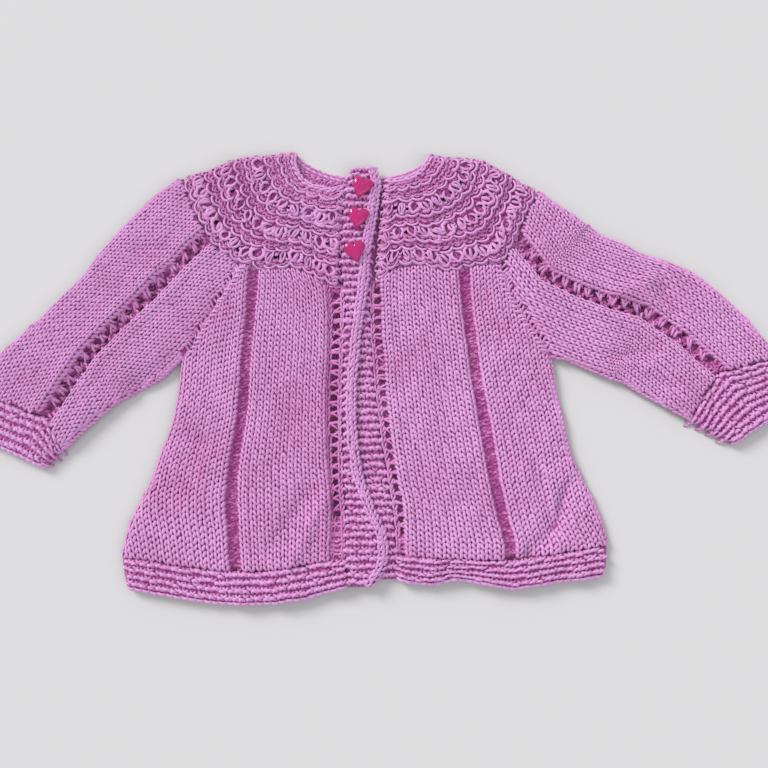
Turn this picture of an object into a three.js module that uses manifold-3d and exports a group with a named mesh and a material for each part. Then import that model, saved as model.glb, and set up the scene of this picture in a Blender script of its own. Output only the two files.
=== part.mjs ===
// A hand-knitted baby cardigan that lies flat on its back, fronts up, in millimetres.
// +X runs to the viewer's right, +Y to the neck and +Z up from the surface that it lies on.
// The tables give each knitted piece's edges at named columns, measured from the middle of the hem.
import * as THREE from 'three';
import Module from 'manifold-3d';
import { mergeVertices } from 'three/addons/utils/BufferGeometryUtils.js';

// Wall and layer sizes.
const BACK_WALL = 2.4;
const KNIT_WALL = 2.4;
const GARTER_WALL = 2.6;
const LACE_WALL = 2.0;
const LAYER_GAP = 0.3;
const SEAM_GAP = 0.3;
const FRONT_FLOOR = BACK_WALL + LAYER_GAP;
const BAND_FLOOR = FRONT_FLOOR + GARTER_WALL + LAYER_GAP;
const FOLD_DROP = 2.3;
const FOLD_REACH = 1.2;
const EDGE_ROUND = 3.5;
const EDGE_THICKNESS = 0.55;
const BACK_INSET = 2.1;

// Relief of the knitting.
const GARTER_PITCH = 4.5;
const GARTER_RELIEF = 0.9;
const PANEL_CROWN = 2.5;
const SIDE_CROWN = 1.5;
const SLEEVE_CROWN = 2.5;
const HEM_WAVE = 0.7;
const CREASE_WIDTH = 7;

// Eyelets that are open right through.
const EYELET_PITCH = 6.2;
const EYELET_WIDTH = 5.2;
const EYELET_HEIGHT = 4.1;
const EYELET_SIDES = 6;
const EYELET_FROM_BAND = 4.3;
const SLEEVE_EYELETS = 19;

// Buttons.
const BUTTON_WIDTH = 12.6;
const BUTTON_HEIGHT = 13.4;
const BUTTON_THICKNESS = 3.4;
const BUTTON_BEVEL = 1.5;
const BUTTON_SEAT = 0.4;

// Right front, on top at the viewer's left: height up the garment, then X at each column.
const RIGHT_FRONT = [
  { y: 204, side: -77, laceOuter: -71, laceInner: -65, eyeletOuter: -31, bandEdge: -15 },
  { y: 189, side: -86.5, laceOuter: -72, laceInner: -66, eyeletOuter: -24.5, bandEdge: -13.5 },
  { y: 174, side: -95, laceOuter: -72.5, laceInner: -67, eyeletOuter: -23, bandEdge: -13 },
  { y: 148, side: -110, laceOuter: -74.5, laceInner: -69, eyeletOuter: -23, bandEdge: -14 },
  { y: 130, side: -111.5, laceOuter: -75.5, laceInner: -69.5, eyeletOuter: -24, bandEdge: -14.5 },
  { y: 110, side: -114, laceOuter: -77, laceInner: -71, eyeletOuter: -24, bandEdge: -14.5 },
  { y: 82, side: -123.5, laceOuter: -81, laceInner: -75, eyeletOuter: -22.5, bandEdge: -14 },
  { y: 65, side: -130, laceOuter: -82.5, laceInner: -75.5, eyeletOuter: -20.5, bandEdge: -13 },
  { y: 54, side: -136.5, laceOuter: -82, laceInner: -75, eyeletOuter: -20, bandEdge: -12.5 },
  { y: 41, side: -140.5, laceOuter: -80.5, laceInner: -74, eyeletOuter: -20.5, bandEdge: -12 },
  { y: 29, side: -143, laceOuter: -79.5, laceInner: -73, eyeletOuter: -21, bandEdge: -12 },
  { y: 18, side: -141, laceOuter: -78.5, laceInner: -72, eyeletOuter: -21, bandEdge: -11.5 },
  { y: 4, side: -137, laceOuter: -77, laceInner: -71.5, eyeletOuter: -20.5, bandEdge: -11 },
];

// Left front, below at the viewer's right.
const LEFT_FRONT = [
  { y: 204, side: 83.5, laceOuter: 62.5, laceInner: 56, eyeletOuter: 9, bandEdge: 3 },
  { y: 189, side: 87.5, laceOuter: 63, laceInner: 57, eyeletOuter: 8.5, bandEdge: 2.5 },
  { y: 174, side: 95.5, laceOuter: 64, laceInner: 58, eyeletOuter: 9, bandEdge: 2.5 },
  { y: 155, side: 108.5, laceOuter: 66.5, laceInner: 60.5, eyeletOuter: 10, bandEdge: 3.5 },
  { y: 146, side: 111.5, laceOuter: 67.5, laceInner: 61.5, eyeletOuter: 11, bandEdge: 4.5 },
  { y: 131, side: 113, laceOuter: 69.5, laceInner: 63.5, eyeletOuter: 11.5, bandEdge: 5.5 },
  { y: 115, side: 116.5, laceOuter: 72.5, laceInner: 66, eyeletOuter: 13, bandEdge: 7.5 },
  { y: 88, side: 121.5, laceOuter: 77, laceInner: 70.5, eyeletOuter: 16.5, bandEdge: 11 },
  { y: 73, side: 128.5, laceOuter: 79, laceInner: 73, eyeletOuter: 19, bandEdge: 13.5 },
  { y: 60, side: 135, laceOuter: 82, laceInner: 75.5, eyeletOuter: 22, bandEdge: 16 },
  { y: 48, side: 139, laceOuter: 84.5, laceInner: 78.5, eyeletOuter: 22.5, bandEdge: 17.5 },
  { y: 37, side: 142, laceOuter: 87.5, laceInner: 81.5, eyeletOuter: 22.5, bandEdge: 18 },
  { y: 24, side: 141, laceOuter: 88, laceInner: 81.5, eyeletOuter: 23, bandEdge: 18 },
  { y: 10, side: 135.5, laceOuter: 88, laceInner: 81.5, eyeletOuter: 23, bandEdge: 18.5 },
];

// The garter hems: height of the upper and lower edge across the garment.
const RIGHT_HEM = [
  { x: -144, upper: 29, lower: 12 },
  { x: -127, upper: 27, lower: 8.8 },
  { x: -108, upper: 24, lower: 5.4 },
  { x: -84, upper: 21, lower: 2 },
  { x: -58, upper: 21, lower: 2 },
  { x: -35, upper: 25, lower: 4.8 },
  { x: -11, upper: 28, lower: 12 },
];
const LEFT_HEM = [
  { x: 18, upper: 30.5, lower: 16 },
  { x: 27, upper: 29, lower: 14 },
  { x: 39, upper: 28, lower: 13 },
  { x: 52, upper: 28, lower: 16 },
  { x: 64, upper: 27.5, lower: 14.5 },
  { x: 85, upper: 27, lower: 10.5 },
  { x: 112, upper: 31, lower: 14.5 },
  { x: 143, upper: 36, lower: 18 },
];

// The two bands: X of the edge that joins the front and of the free edge.
const BUTTON_BAND = [
  { y: 265, joined: -9, free: 6 },
  { y: 255, joined: -12, free: 9 },
  { y: 242, joined: -14, free: 7.4 },
  { y: 228, joined: -15, free: 5.3 },
  { y: 213, joined: -16, free: 2.5 },
  { y: 197, joined: -14.6, free: 1.7 },
  { y: 174, joined: -13, free: -1.3 },
  { y: 159, joined: -13.6, free: -3.3 },
  { y: 136, joined: -14.4, free: -5.4 },
  { y: 115, joined: -14.6, free: -6.1 },
  { y: 94, joined: -14.2, free: -4.7 },
  { y: 75, joined: -13.6, free: -1.6 },
  { y: 58, joined: -12.8, free: 5 },
  { y: 43, joined: -12.1, free: 12 },
  { y: 31, joined: -11.9, free: 13.4 },
  { y: 22, joined: -11.5, free: 11.4 },
  { y: 12, joined: -11, free: 4 },
];
const UNDER_BAND = [
  { y: 258, joined: 10, free: -9 },
  { y: 242, joined: 8, free: -11 },
  { y: 213, joined: 3.5, free: -13 },
  { y: 189, joined: 2.5, free: -11 },
  { y: 174, joined: 2.5, free: -10.5 },
  { y: 155, joined: 3.5, free: -11 },
  { y: 131, joined: 5.5, free: -12 },
  { y: 115, joined: 7.5, free: -12 },
  { y: 88, joined: 11, free: -8.8 },
  { y: 60, joined: 16, free: -4 },
  { y: 37, joined: 18, free: -2 },
  { y: 16, joined: 18.4, free: -1.5 },
];

// Yoke spokes from the neck over the middle to the scalloped rim, band first and shoulder fold last.
const RIGHT_YOKE = [
  { neck: [-11.4, 255], mid: [-14.7, 224], rim: [-15.3, 189] },
  { neck: [-22.5, 251], mid: [-24.7, 224.4], rim: [-27, 194.4] },
  { neck: [-33, 253.6], mid: [-38.3, 229], rim: [-44.7, 202] },
  { neck: [-38.6, 257.4], mid: [-50.6, 230.7], rim: [-63.5, 201] },
  { neck: [-41.7, 262], mid: [-60.4, 234.5], rim: [-78.3, 205] },
  { neck: [-43, 266], mid: [-68.6, 242.8], rim: [-93.8, 217] },
  { neck: [-43.7, 270], mid: [-74.3, 255], rim: [-104.7, 236.4] },
  { neck: [-43, 274], mid: [-78.3, 271], rim: [-112.7, 258.7] },
];
const LEFT_YOKE = [
  { neck: [10.8, 258], mid: [7.9, 225.7], rim: [4.7, 191.3] },
  { neck: [18.2, 257.4], mid: [17.2, 230], rim: [17, 202] },
  { neck: [25, 258.7], mid: [28, 230.7], rim: [32, 204] },
  { neck: [30.6, 261.2], mid: [40.3, 231.4], rim: [49.2, 199.5] },
  { neck: [33.7, 264.4], mid: [50, 235.2], rim: [68.7, 203.2] },
  { neck: [35.5, 267], mid: [58.8, 241], rim: [83.5, 205.5] },
  { neck: [36.8, 269], mid: [67, 251], rim: [93, 226] },
  { neck: [38, 272], mid: [71.5, 270], rim: [105, 251] },
];
const BACK_NECK_DEPTH = 15;

// Relief of the yoke from the neck out, as shares of its depth: garter edge, plain, then three lace rows.
const YOKE_RELIEF = [
  { share: 0, height: 2.6, bobble: 0 },
  { share: 0.04, height: 3.9, bobble: 0 },
  { share: 0.08, height: 3.1, bobble: 0 },
  { share: 0.13, height: 4.0, bobble: 0 },
  { share: 0.2, height: 3.4, bobble: 0 },
  { share: 0.26, height: 4.4, bobble: 0.2 },
  { share: 0.35, height: 3.9, bobble: 1.3 },
  { share: 0.43, height: 4.2, bobble: 0.3 },
  { share: 0.5, height: 2.9, bobble: 0 },
  { share: 0.56, height: 4.2, bobble: 0.3 },
  { share: 0.64, height: 3.9, bobble: 1.3 },
  { share: 0.72, height: 4.2, bobble: 0.3 },
  { share: 0.79, height: 2.9, bobble: 0 },
  { share: 0.87, height: 3.8, bobble: 1.3 },
  { share: 0.95, height: 4.3, bobble: 0.4 },
  { share: 1, height: 3.2, bobble: 0 },
];
const YOKE_BOBBLES = 12;
const YOKE_BAND_SHARE = 0.02;

// Sleeves from the raglan seam to the cuff: upper fold, lace column, lower side and underarm fold.
const RIGHT_SLEEVE = [
  { upper: [-112.7, 258], lace: [-98, 222], lower: [-78.3, 204], underarm: [-110, 147] },
  { upper: [-128.4, 249.8], lace: [-112, 206], lower: [-98, 182], underarm: [-124, 134] },
  { upper: [-150.4, 227], lace: [-132.5, 183], lower: [-119.6, 158], underarm: [-136, 128] },
  { upper: [-172, 197.6], lace: [-152, 164], lower: [-139, 142], underarm: [-148.5, 121] },
  { upper: [-196.3, 171.6], lace: [-166.5, 148], lower: [-155, 131], underarm: [-160, 111.6] },
  { upper: [-220.5, 149], lace: [-179, 129], lower: [-169, 115], underarm: [-170.5, 102] },
  { upper: [-241.7, 128.7], lace: [-190, 110.4], lower: [-184, 101.4], underarm: [-180.7, 92] },
];
const LEFT_SLEEVE = [
  { upper: [105, 250.5], lace: [94, 219], lower: [83.6, 205], underarm: [111.4, 147] },
  { upper: [124, 237], lace: [109, 196.5], lower: [102.5, 182], underarm: [123, 145] },
  { upper: [145, 222], lace: [128, 187.6], lower: [122, 173], underarm: [139.4, 137.4] },
  { upper: [167, 211.3], lace: [148, 180], lower: [143, 161], underarm: [156, 131.4] },
  { upper: [197.3, 200.7], lace: [168, 174], lower: [163.5, 152], underarm: [171.3, 122] },
  { upper: [225.4, 177], lace: [189.5, 158], lower: [185, 138], underarm: [185, 114.6] },
  { upper: [248, 146.5], lace: [212, 137.5], lower: [201, 124], underarm: [194, 109.2] },
];
const RIGHT_CUFF_END = { upper: [-248.2, 106.2], underarm: [-191, 80.7] };
const LEFT_CUFF_END = { upper: [263.6, 123], underarm: [219, 94.3] };

// The largest creases, as troughs or ridges from one point to another.
const CREASES = [
  { from: [128, 74], to: [110, 51], height: -1.3 },
  { from: [105, 82], to: [107, 53], height: -1.1 },
  { from: [-165, 136], to: [-156, 124], height: -1.2 },
  { from: [-131, 191], to: [-109, 180], height: 1.0 },
  { from: [188, 156], to: [201, 122], height: -1.2 },
  { from: [-128, 60], to: [-120, 96], height: -0.6 },
  { from: [-48, 40], to: [-44, 78], height: -0.6 },
  { from: [52, 36], to: [49, 66], height: -0.7 },
  { from: [118, 120], to: [103, 108], height: -0.8 },
];

const BUTTONS = [
  { x: -2.6, y: 250.5, turn: -0.3 },
  { x: -4.8, y: 232, turn: -0.14 },
  { x: -6.4, y: 211.5, turn: 0.16 },
];

const YARN = { color: 0xcd73b4, roughness: 0.9, metalness: 0 };
const GLOSSY = { color: 0xb0125f, roughness: 0.18, metalness: 0 };

const clamp = (value, low, high) => Math.min(high, Math.max(low, value));
const mix = (a, b, share) => a + (b - a) * share;
const mixPoint = (a, b, share) => [mix(a[0], b[0], share), mix(a[1], b[1], share)];

// Straight-line reading of a table at a key, for tables that run either way.
function lookUp(table, key, at, field) {
  const rising = table[table.length - 1][key] > table[0][key];
  for (let row = 1; row < table.length; row += 1) {
    const reached = rising ? at <= table[row][key] : at >= table[row][key];
    if (reached || row === table.length - 1) {
      const share = clamp((at - table[row - 1][key]) / (table[row][key] - table[row - 1][key]), 0, 1);
      return mix(table[row - 1][field], table[row][field], share);
    }
  }
  return table[0][field];
}

// A point at a share of the way along a list of points.
function along(points, share) {
  const place = clamp(share, 0, 1) * (points.length - 1);
  const first = Math.min(Math.floor(place), points.length - 2);
  return mixPoint(points[first], points[first + 1], place - first);
}

// How far the large creases lift or lower the cloth at a point.
function creaseAt([x, y]) {
  let height = 0;
  for (const crease of CREASES) {
    const run = [crease.to[0] - crease.from[0], crease.to[1] - crease.from[1]];
    const reach = run[0] ** 2 + run[1] ** 2;
    const share = clamp(((x - crease.from[0]) * run[0] + (y - crease.from[1]) * run[1]) / reach, 0, 1);
    const nearest = mixPoint(crease.from, crease.to, share);
    const distance = Math.hypot(x - nearest[0], y - nearest[1]);
    height += crease.height * Math.exp(-((distance / CREASE_WIDTH) ** 2));
  }
  return height;
}

// Shares from 0 to 1 with a line close to each end, so that an edge can be rounded.
function evenShares(count, edge = 0) {
  const shares = [0];
  if (edge > 0) shares.push(edge);
  for (let step = 1; step < count; step += 1) shares.push(mix(edge, 1 - edge, step / count));
  if (edge > 0) shares.push(1 - edge);
  shares.push(1);
  return shares;
}

// A closed wall over a grid of shares. place gives X and Y, and layer gives the Z of both faces.
function wall(across, down, place, layer) {
  const columns = across.length;
  const rows = down.length;
  const positions = [];
  const faces = [];
  for (const face of ['under', 'upper']) {
    for (const t of down) {
      for (const s of across) {
        const point = place(s, t);
        positions.push(point[0], point[1], layer(s, t, point)[face]);
      }
    }
  }
  const under = (row, column) => row * columns + column;
  const upper = (row, column) => rows * columns + row * columns + column;
  const quad = (a, b, c, d) => faces.push(a, b, c, a, c, d);
  for (let row = 0; row + 1 < rows; row += 1) {
    for (let column = 0; column + 1 < columns; column += 1) {
      quad(upper(row, column), upper(row + 1, column), upper(row + 1, column + 1), upper(row, column + 1));
      quad(under(row, column), under(row, column + 1), under(row + 1, column + 1), under(row + 1, column));
    }
    const last = columns - 1;
    quad(upper(row, 0), under(row, 0), under(row + 1, 0), upper(row + 1, 0));
    quad(upper(row, last), upper(row + 1, last), under(row + 1, last), under(row, last));
  }
  for (let column = 0; column + 1 < columns; column += 1) {
    const last = rows - 1;
    quad(upper(0, column), upper(0, column + 1), under(0, column + 1), under(0, column));
    quad(upper(last, column), under(last, column), under(last, column + 1), upper(last, column + 1));
  }
  const geometry = new THREE.BufferGeometry();
  geometry.setAttribute('position', new THREE.Float32BufferAttribute(positions, 3));
  geometry.setIndex(faces);
  return turnedOut(geometry);
}

// A grid that runs the other way round gives faces that point in, so its triangles are turned.
function turnedOut(geometry) {
  const position = geometry.attributes.position;
  const index = geometry.index.array;
  const corners = [new THREE.Vector3(), new THREE.Vector3(), new THREE.Vector3()];
  let volume = 0;
  for (let face = 0; face < index.length; face += 3) {
    corners.forEach((corner, side) => corner.fromBufferAttribute(position, index[face + side]));
    volume += corners[0].dot(corners[1].clone().cross(corners[2]));
  }
  if (volume < 0) {
    for (let face = 0; face < index.length; face += 3) {
      [index[face + 1], index[face + 2]] = [index[face + 2], index[face + 1]];
    }
  }
  return geometry;
}

const wasm = await Module();
wasm.setup();

function toSolid(geometry) {
  const plain = geometry.clone();
  plain.deleteAttribute('normal');
  plain.deleteAttribute('uv');
  const merged = mergeVertices(plain, 1e-4);
  const mesh = new wasm.Mesh({
    numProp: 3,
    vertProperties: new Float32Array(merged.attributes.position.array),
    triVerts: new Uint32Array(merged.index.array),
  });
  return new wasm.Manifold(mesh);
}

function toGeometry(solid) {
  const mesh = solid.getMesh();
  const geometry = new THREE.BufferGeometry();
  geometry.setAttribute('position', new THREE.Float32BufferAttribute(mesh.vertProperties, 3));
  geometry.setIndex(Array.from(mesh.triVerts));
  return geometry;
}

// Eyelets cut through a wall, each an upright six-sided hole turned to its place in the column.
function cutEyelets(geometry, eyelets) {
  let solid = toSolid(geometry);
  for (const { point, turn, size } of eyelets) {
    const hole = new THREE.CylinderGeometry(0.5, 0.5, 30, EYELET_SIDES);
    hole.rotateX(Math.PI / 2);
    hole.scale(EYELET_WIDTH * size, EYELET_HEIGHT * size, 1);
    hole.rotateZ(turn);
    hole.translate(point[0], point[1], 0);
    solid = solid.subtract(toSolid(hole));
  }
  return toGeometry(solid);
}

const group = new THREE.Group();

function addPiece(name, geometry, finish = YARN) {
  const mesh = new THREE.Mesh(geometry, new THREE.MeshStandardMaterial(finish));
  mesh.name = name;
  group.add(mesh);
}

// Height of a rounded edge: 0 at the edge and 1 from EDGE_ROUND inwards.
function roundedEdge(distance) {
  const share = clamp(1 - distance / EDGE_ROUND, 0, 1);
  return Math.sqrt(1 - share * share);
}

// The upper face of a wall that thins to EDGE_THICKNESS at its edge.
function upperFace(under, thickness, distance) {
  const thin = thickness * EDGE_THICKNESS;
  return under + mix(thin, thickness, roundedEdge(distance));
}

// Underside at a fold: it comes down round the back wall's edge over the last FOLD_REACH.
function foldedUnder(under, distance) {
  const drop = clamp(1 - distance / FOLD_REACH, 0, 1);
  return mix(under, FRONT_FLOOR - FOLD_DROP, drop);
}

// The rim between the yoke and the fronts as a height over X.
function rimHeight(yoke, x) {
  const rim = yoke.map((spoke) => ({ x: spoke.rim[0], y: spoke.rim[1] }));
  return lookUp(rim.slice(0, 6), 'x', x, 'y');
}

// Both fronts share one layout of columns: side panel, lace, middle panel and eyelet strip.
const FRONT_ZONES = [
  { from: 'side', to: 'laceOuter', steps: 4 },
  { from: 'laceOuter', to: 'laceInner', steps: 2 },
  { from: 'laceInner', to: 'eyeletOuter', steps: 5 },
  { from: 'eyeletOuter', to: 'bandEdge', steps: 1 },
];

// Columns of a front as zone and share in the zone, with an extra line close to the side fold.
function frontColumns() {
  const columns = [{ zone: 0, share: 0 }, { zone: 0, share: 0.04 }];
  FRONT_ZONES.forEach((zone, number) => {
    for (let step = 1; step <= zone.steps; step += 1) columns.push({ zone: number, share: step / zone.steps });
  });
  return columns;
}

function frontX(table, column, y) {
  const zone = FRONT_ZONES[column.zone];
  const outward = Math.sign(table[0].side);
  const gap = outward * SEAM_GAP;
  const from = lookUp(table, 'y', y, zone.from) - (zone.from === 'side' ? gap : 0);
  const to = lookUp(table, 'y', y, zone.to) + (zone.to === 'bandEdge' ? gap : 0);
  return mix(from, to, column.share);
}

// Lift of a front's underside: crowned panels, low lace, and a rise to the band that lies on top.
function frontLift(column, t, point, bandRise) {
  const hump = Math.sin(Math.PI * column.share) ** 0.7;
  const settle = Math.sin(Math.PI * mix(0.12, 0.82, t)) ** 0.5;
  const heights = [SIDE_CROWN * hump * settle, 0.15, PANEL_CROWN * hump * settle, bandRise * column.share];
  return Math.max(heights[column.zone] + (column.zone % 2 === 0 ? creaseAt(point) : 0), 0);
}

function frontPanel(table, yoke, hem, bandRise) {
  const columns = frontColumns();
  const across = columns.map((column, number) => number);
  const down = evenShares(10, 0.012);
  const place = (number, t) => {
    const column = columns[number];
    let x = frontX(table, column, 200);
    let y = 200;
    for (let pass = 0; pass < 6; pass += 1) {
      const top = rimHeight(yoke, x) - 2 * SEAM_GAP;
      const bottom = lookUp(hem, 'x', x, 'upper') + SEAM_GAP;
      y = mix(top, bottom, t);
      x = frontX(table, column, y);
    }
    return [x, y];
  };
  const layer = (number, t, point) => {
    const column = columns[number];
    const lace = column.zone === 1 || (column.zone === 2 && column.share === 0);
    const lift = FRONT_FLOOR + frontLift(column, t, point, bandRise);
    const sideX = lookUp(table, 'y', point[1], 'side');
    const fromSide = Math.abs(point[0] - sideX) - SEAM_GAP;
    const thickness = lace ? LACE_WALL : KNIT_WALL;
    const belowArm = point[1] < table.find((row) => Math.abs(row.side) > 109).y;
    const under = belowArm ? foldedUnder(lift, fromSide) : lift;
    return { under, upper: upperFace(lift, thickness, fromSide + (belowArm ? 0 : 2)) };
  };
  return wall(across, down, place, layer);
}

// Eyelets of a front, one every EYELET_PITCH down the strip beside the band.
function frontEyelets(table, highest, lowest) {
  const outward = Math.sign(table[0].side);
  const eyelets = [];
  for (let y = highest; y > lowest; y -= EYELET_PITCH) {
    const edge = lookUp(table, 'y', y, 'bandEdge');
    const room = Math.abs(lookUp(table, 'y', y, 'eyeletOuter') - edge);
    const point = [edge + outward * Math.min(EYELET_FROM_BAND, room * 0.6 + 1.4), y];
    eyelets.push({ point, turn: 0, size: mix(1, 0.9, (highest - y) / (highest - lowest)) });
  }
  return eyelets;
}

// A garter hem: its ridges run across, one every GARTER_PITCH.
function garterHem(table, hem, bandRise) {
  const columns = frontColumns();
  const across = columns.map((column, number) => number);
  const down = evenShares(9);
  const place = (number, t) => {
    const column = columns[number];
    let x = frontX(table, column, 20);
    let y = 20;
    for (let pass = 0; pass < 6; pass += 1) {
      const top = lookUp(hem, 'x', x, 'upper') - SEAM_GAP;
      y = mix(top, lookUp(hem, 'x', x, 'lower'), t);
      x = frontX(table, column, y);
    }
    return [x, y];
  };
  const layer = (number, t, point) => {
    const column = columns[number];
    const ridge = Math.round(t * 9) % 2 === 1 ? GARTER_RELIEF : 0;
    const wave = HEM_WAVE * (1 + Math.sin(point[0] / 11));
    const rise = column.zone === 3 ? mix(wave, bandRise, column.share) : wave;
    const lift = FRONT_FLOOR + (column.zone === 0 ? rise * Math.min(1, column.share * 2) : rise);
    const fromSide = Math.abs(point[0] - lookUp(table, 'y', point[1], 'side')) - SEAM_GAP;
    const upper = upperFace(lift, GARTER_WALL - 0.4, fromSide) + ridge * Math.min(1, fromSide / 3);
    return { under: foldedUnder(lift, fromSide), upper };
  };
  return wall(across, down, place, layer);
}

// A garter band with its ridges across it, rolled along the free edge.
function garterBand(table, floor, cells, roll) {
  const top = table[0].y;
  const bottom = table[table.length - 1].y;
  const steps = Math.round(((top - bottom) / GARTER_PITCH) * 2);
  const place = (s, t) => {
    const y = mix(top, bottom, t);
    const outward = Math.sign(table[0].free - table[0].joined);
    const joined = lookUp(table, 'y', y, 'joined') + outward * SEAM_GAP;
    return [mix(joined, lookUp(table, 'y', y, 'free'), s), y];
  };
  const layer = (s, t, point) => {
    const ridge = Math.round(t * steps) % 2 === 1 ? GARTER_RELIEF : 0;
    const width = Math.abs(lookUp(table, 'y', point[1], 'free') - lookUp(table, 'y', point[1], 'joined'));
    const fromFree = (1 - s) * width;
    const edge = roll * Math.exp(-(((fromFree - 2) / 2) ** 2));
    const body = upperFace(floor, GARTER_WALL - GARTER_RELIEF, fromFree);
    return { under: floor, upper: body + ridge * (s === 0 || s === 1 ? 0.5 : 1) + edge };
  };
  return wall(cells, evenShares(steps), place, layer);
}

// The yoke's point at a share round from the band to the shoulder fold and a share out from the neck.
function yokePoint(spokes, around, out) {
  const neck = along(spokes.map((spoke) => spoke.neck), around);
  const mid = along(spokes.map((spoke) => spoke.mid), around);
  const rim = along(spokes.map((spoke) => spoke.rim), around);
  return out < 0.5 ? mixPoint(neck, mid, out * 2) : mixPoint(mid, rim, out * 2 - 1);
}

function frontYoke(spokes) {
  const steps = YOKE_BOBBLES * 2;
  const down = YOKE_RELIEF.map((row) => row.share);
  const place = (s, t) => yokePoint(spokes, mix(YOKE_BAND_SHARE, 0.995, s), mix(0, 0.994, t));
  const layer = (s, t) => {
    const row = YOKE_RELIEF.find((relief) => relief.share === t);
    const peak = Math.round(s * steps) % 2 === 1 ? row.bobble : 0;
    const length = 110 * mix(0.4, 1, t);
    const fromFold = (1 - s) * length;
    const upper = upperFace(FRONT_FLOOR, row.height, Math.min(fromFold, t * 60 + 1)) + peak;
    return { under: FRONT_FLOOR, upper };
  };
  return wall(evenShares(steps), down, place, layer);
}

// The back of the yoke: the same rim all round, and a back neck that stands higher than the front neck.
function backYoke() {
  const rim = [...RIGHT_YOKE].reverse().map((spoke) => spoke.rim);
  rim.push([-4, 189]);
  rim.push(...LEFT_YOKE.map((spoke) => spoke.rim));
  const foldRight = RIGHT_YOKE[RIGHT_YOKE.length - 1].neck;
  const foldLeft = LEFT_YOKE[LEFT_YOKE.length - 1].neck;
  const place = (s, t) => {
    const edge = mixPoint(foldRight, foldLeft, s);
    const neck = [edge[0], edge[1] - BACK_NECK_DEPTH * Math.sin(Math.PI * s) ** 0.6];
    const outer = along(rim, mix(0.006, 0.994, s));
    return mixPoint(neck, outer, mix(0, 0.992, t));
  };
  const layer = (s, t) => {
    const ridge = t > 0.04 && t < 0.06 ? GARTER_RELIEF * 0.4 : 0;
    return { under: 0, upper: upperFace(0, BACK_WALL - 0.4, t * 60) + ridge };
  };
  return wall(evenShares(24), [0, 0.03, 0.05, 0.08, 0.4, 1], place, layer);
}

// The back: its sides lie just inside the fronts' side folds, its top under the yoke's rim.
function backSide(table, y) {
  const outward = Math.sign(table[0].side);
  const arm = table.find((row) => Math.abs(row.side) > 109).y;
  const inset = y > arm + 12 ? SEAM_GAP : BACK_INSET;
  return lookUp(table, 'y', y, 'side') - outward * inset;
}

function backX(s, y) {
  return mix(backSide(RIGHT_FRONT, y), backSide(LEFT_FRONT, y), s);
}

function backHemEdge(x, edge) {
  const table = x < 0 ? RIGHT_HEM : LEFT_HEM;
  return lookUp(table, 'x', x, edge) + (edge === 'lower' ? 1.5 : 0);
}

function backRim(x) {
  const rim = [...RIGHT_YOKE.slice(0, 5)].reverse().map((spoke) => ({ x: spoke.rim[0], y: spoke.rim[1] }));
  rim.push({ x: -4, y: 189 });
  rim.push(...LEFT_YOKE.slice(0, 6).map((spoke) => ({ x: spoke.rim[0], y: spoke.rim[1] })));
  return lookUp(rim, 'x', x, 'y') - 2.5 * SEAM_GAP;
}

function backGrid(across, down, topOf, bottomOf, relief) {
  const place = (s, t) => {
    let y = 100;
    let x = backX(s, y);
    for (let pass = 0; pass < 6; pass += 1) {
      y = mix(topOf(x), bottomOf(x), t);
      x = backX(s, y);
    }
    return [x, y];
  };
  const layer = (s, t, point) => {
    const edge = Math.min(s, 1 - s) * 230;
    return { under: 0, upper: upperFace(0, BACK_WALL - relief, edge) + (Math.round(t * 6) % 2) * relief };
  };
  return wall(evenShares(across, 0.008), evenShares(down), place, layer);
}

// Sleeve grid: rows follow the arm and columns run from the upper fold to the underarm fold.
const SLEEVE_COLUMNS = ['upper', 'lace', 'lower', 'underarm'];
const SLEEVE_LACE = 0.36;
const SLEEVE_STOPS = [0, SLEEVE_LACE, 0.6, 1];
const SLEEVE_START = 0.006;

function sleeveRow(row, s) {
  for (let zone = 1; zone < SLEEVE_STOPS.length; zone += 1) {
    if (s <= SLEEVE_STOPS[zone] || zone === SLEEVE_STOPS.length - 1) {
      const share = (s - SLEEVE_STOPS[zone - 1]) / (SLEEVE_STOPS[zone] - SLEEVE_STOPS[zone - 1]);
      return mixPoint(row[SLEEVE_COLUMNS[zone - 1]], row[SLEEVE_COLUMNS[zone]], share);
    }
  }
  return row.upper;
}

// The sleeve's top row is the seam itself: the yoke's rim from the shoulder, then the raglan seam.
function seamRow(sleeve, s) {
  const corner = SLEEVE_STOPS[2];
  const rim = sleeve.yoke.slice(sleeve.cornerSpoke).reverse().map((spoke) => spoke.rim);
  if (s <= corner) return along(rim, s / corner);
  const y = mix(rim[rim.length - 1][1], sleeve.rows[0].underarm[1], (s - corner) / (1 - corner));
  return [lookUp(sleeve.front, 'y', y, 'side'), y];
}

function sleevePoint(sleeve, s, t) {
  const points = sleeve.rows.map((row) => sleeveRow(row, s));
  points[0] = seamRow(sleeve, s);
  return along(points, t);
}

const SLEEVE_ACROSS = [0, 0.02, 0.07, 0.18, 0.29, 0.36, 0.43, 0.6, 0.75, 0.92, 0.98, 1];

// Distance of a share across the sleeve from its nearer fold, in millimetres.
function fromFolds(sleeve, s, t) {
  const [x, y] = sleevePoint(sleeve, s, t);
  const upper = sleevePoint(sleeve, 0, t);
  const underarm = sleevePoint(sleeve, 1, t);
  return Math.min(Math.hypot(x - upper[0], y - upper[1]), Math.hypot(x - underarm[0], y - underarm[1]));
}

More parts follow.
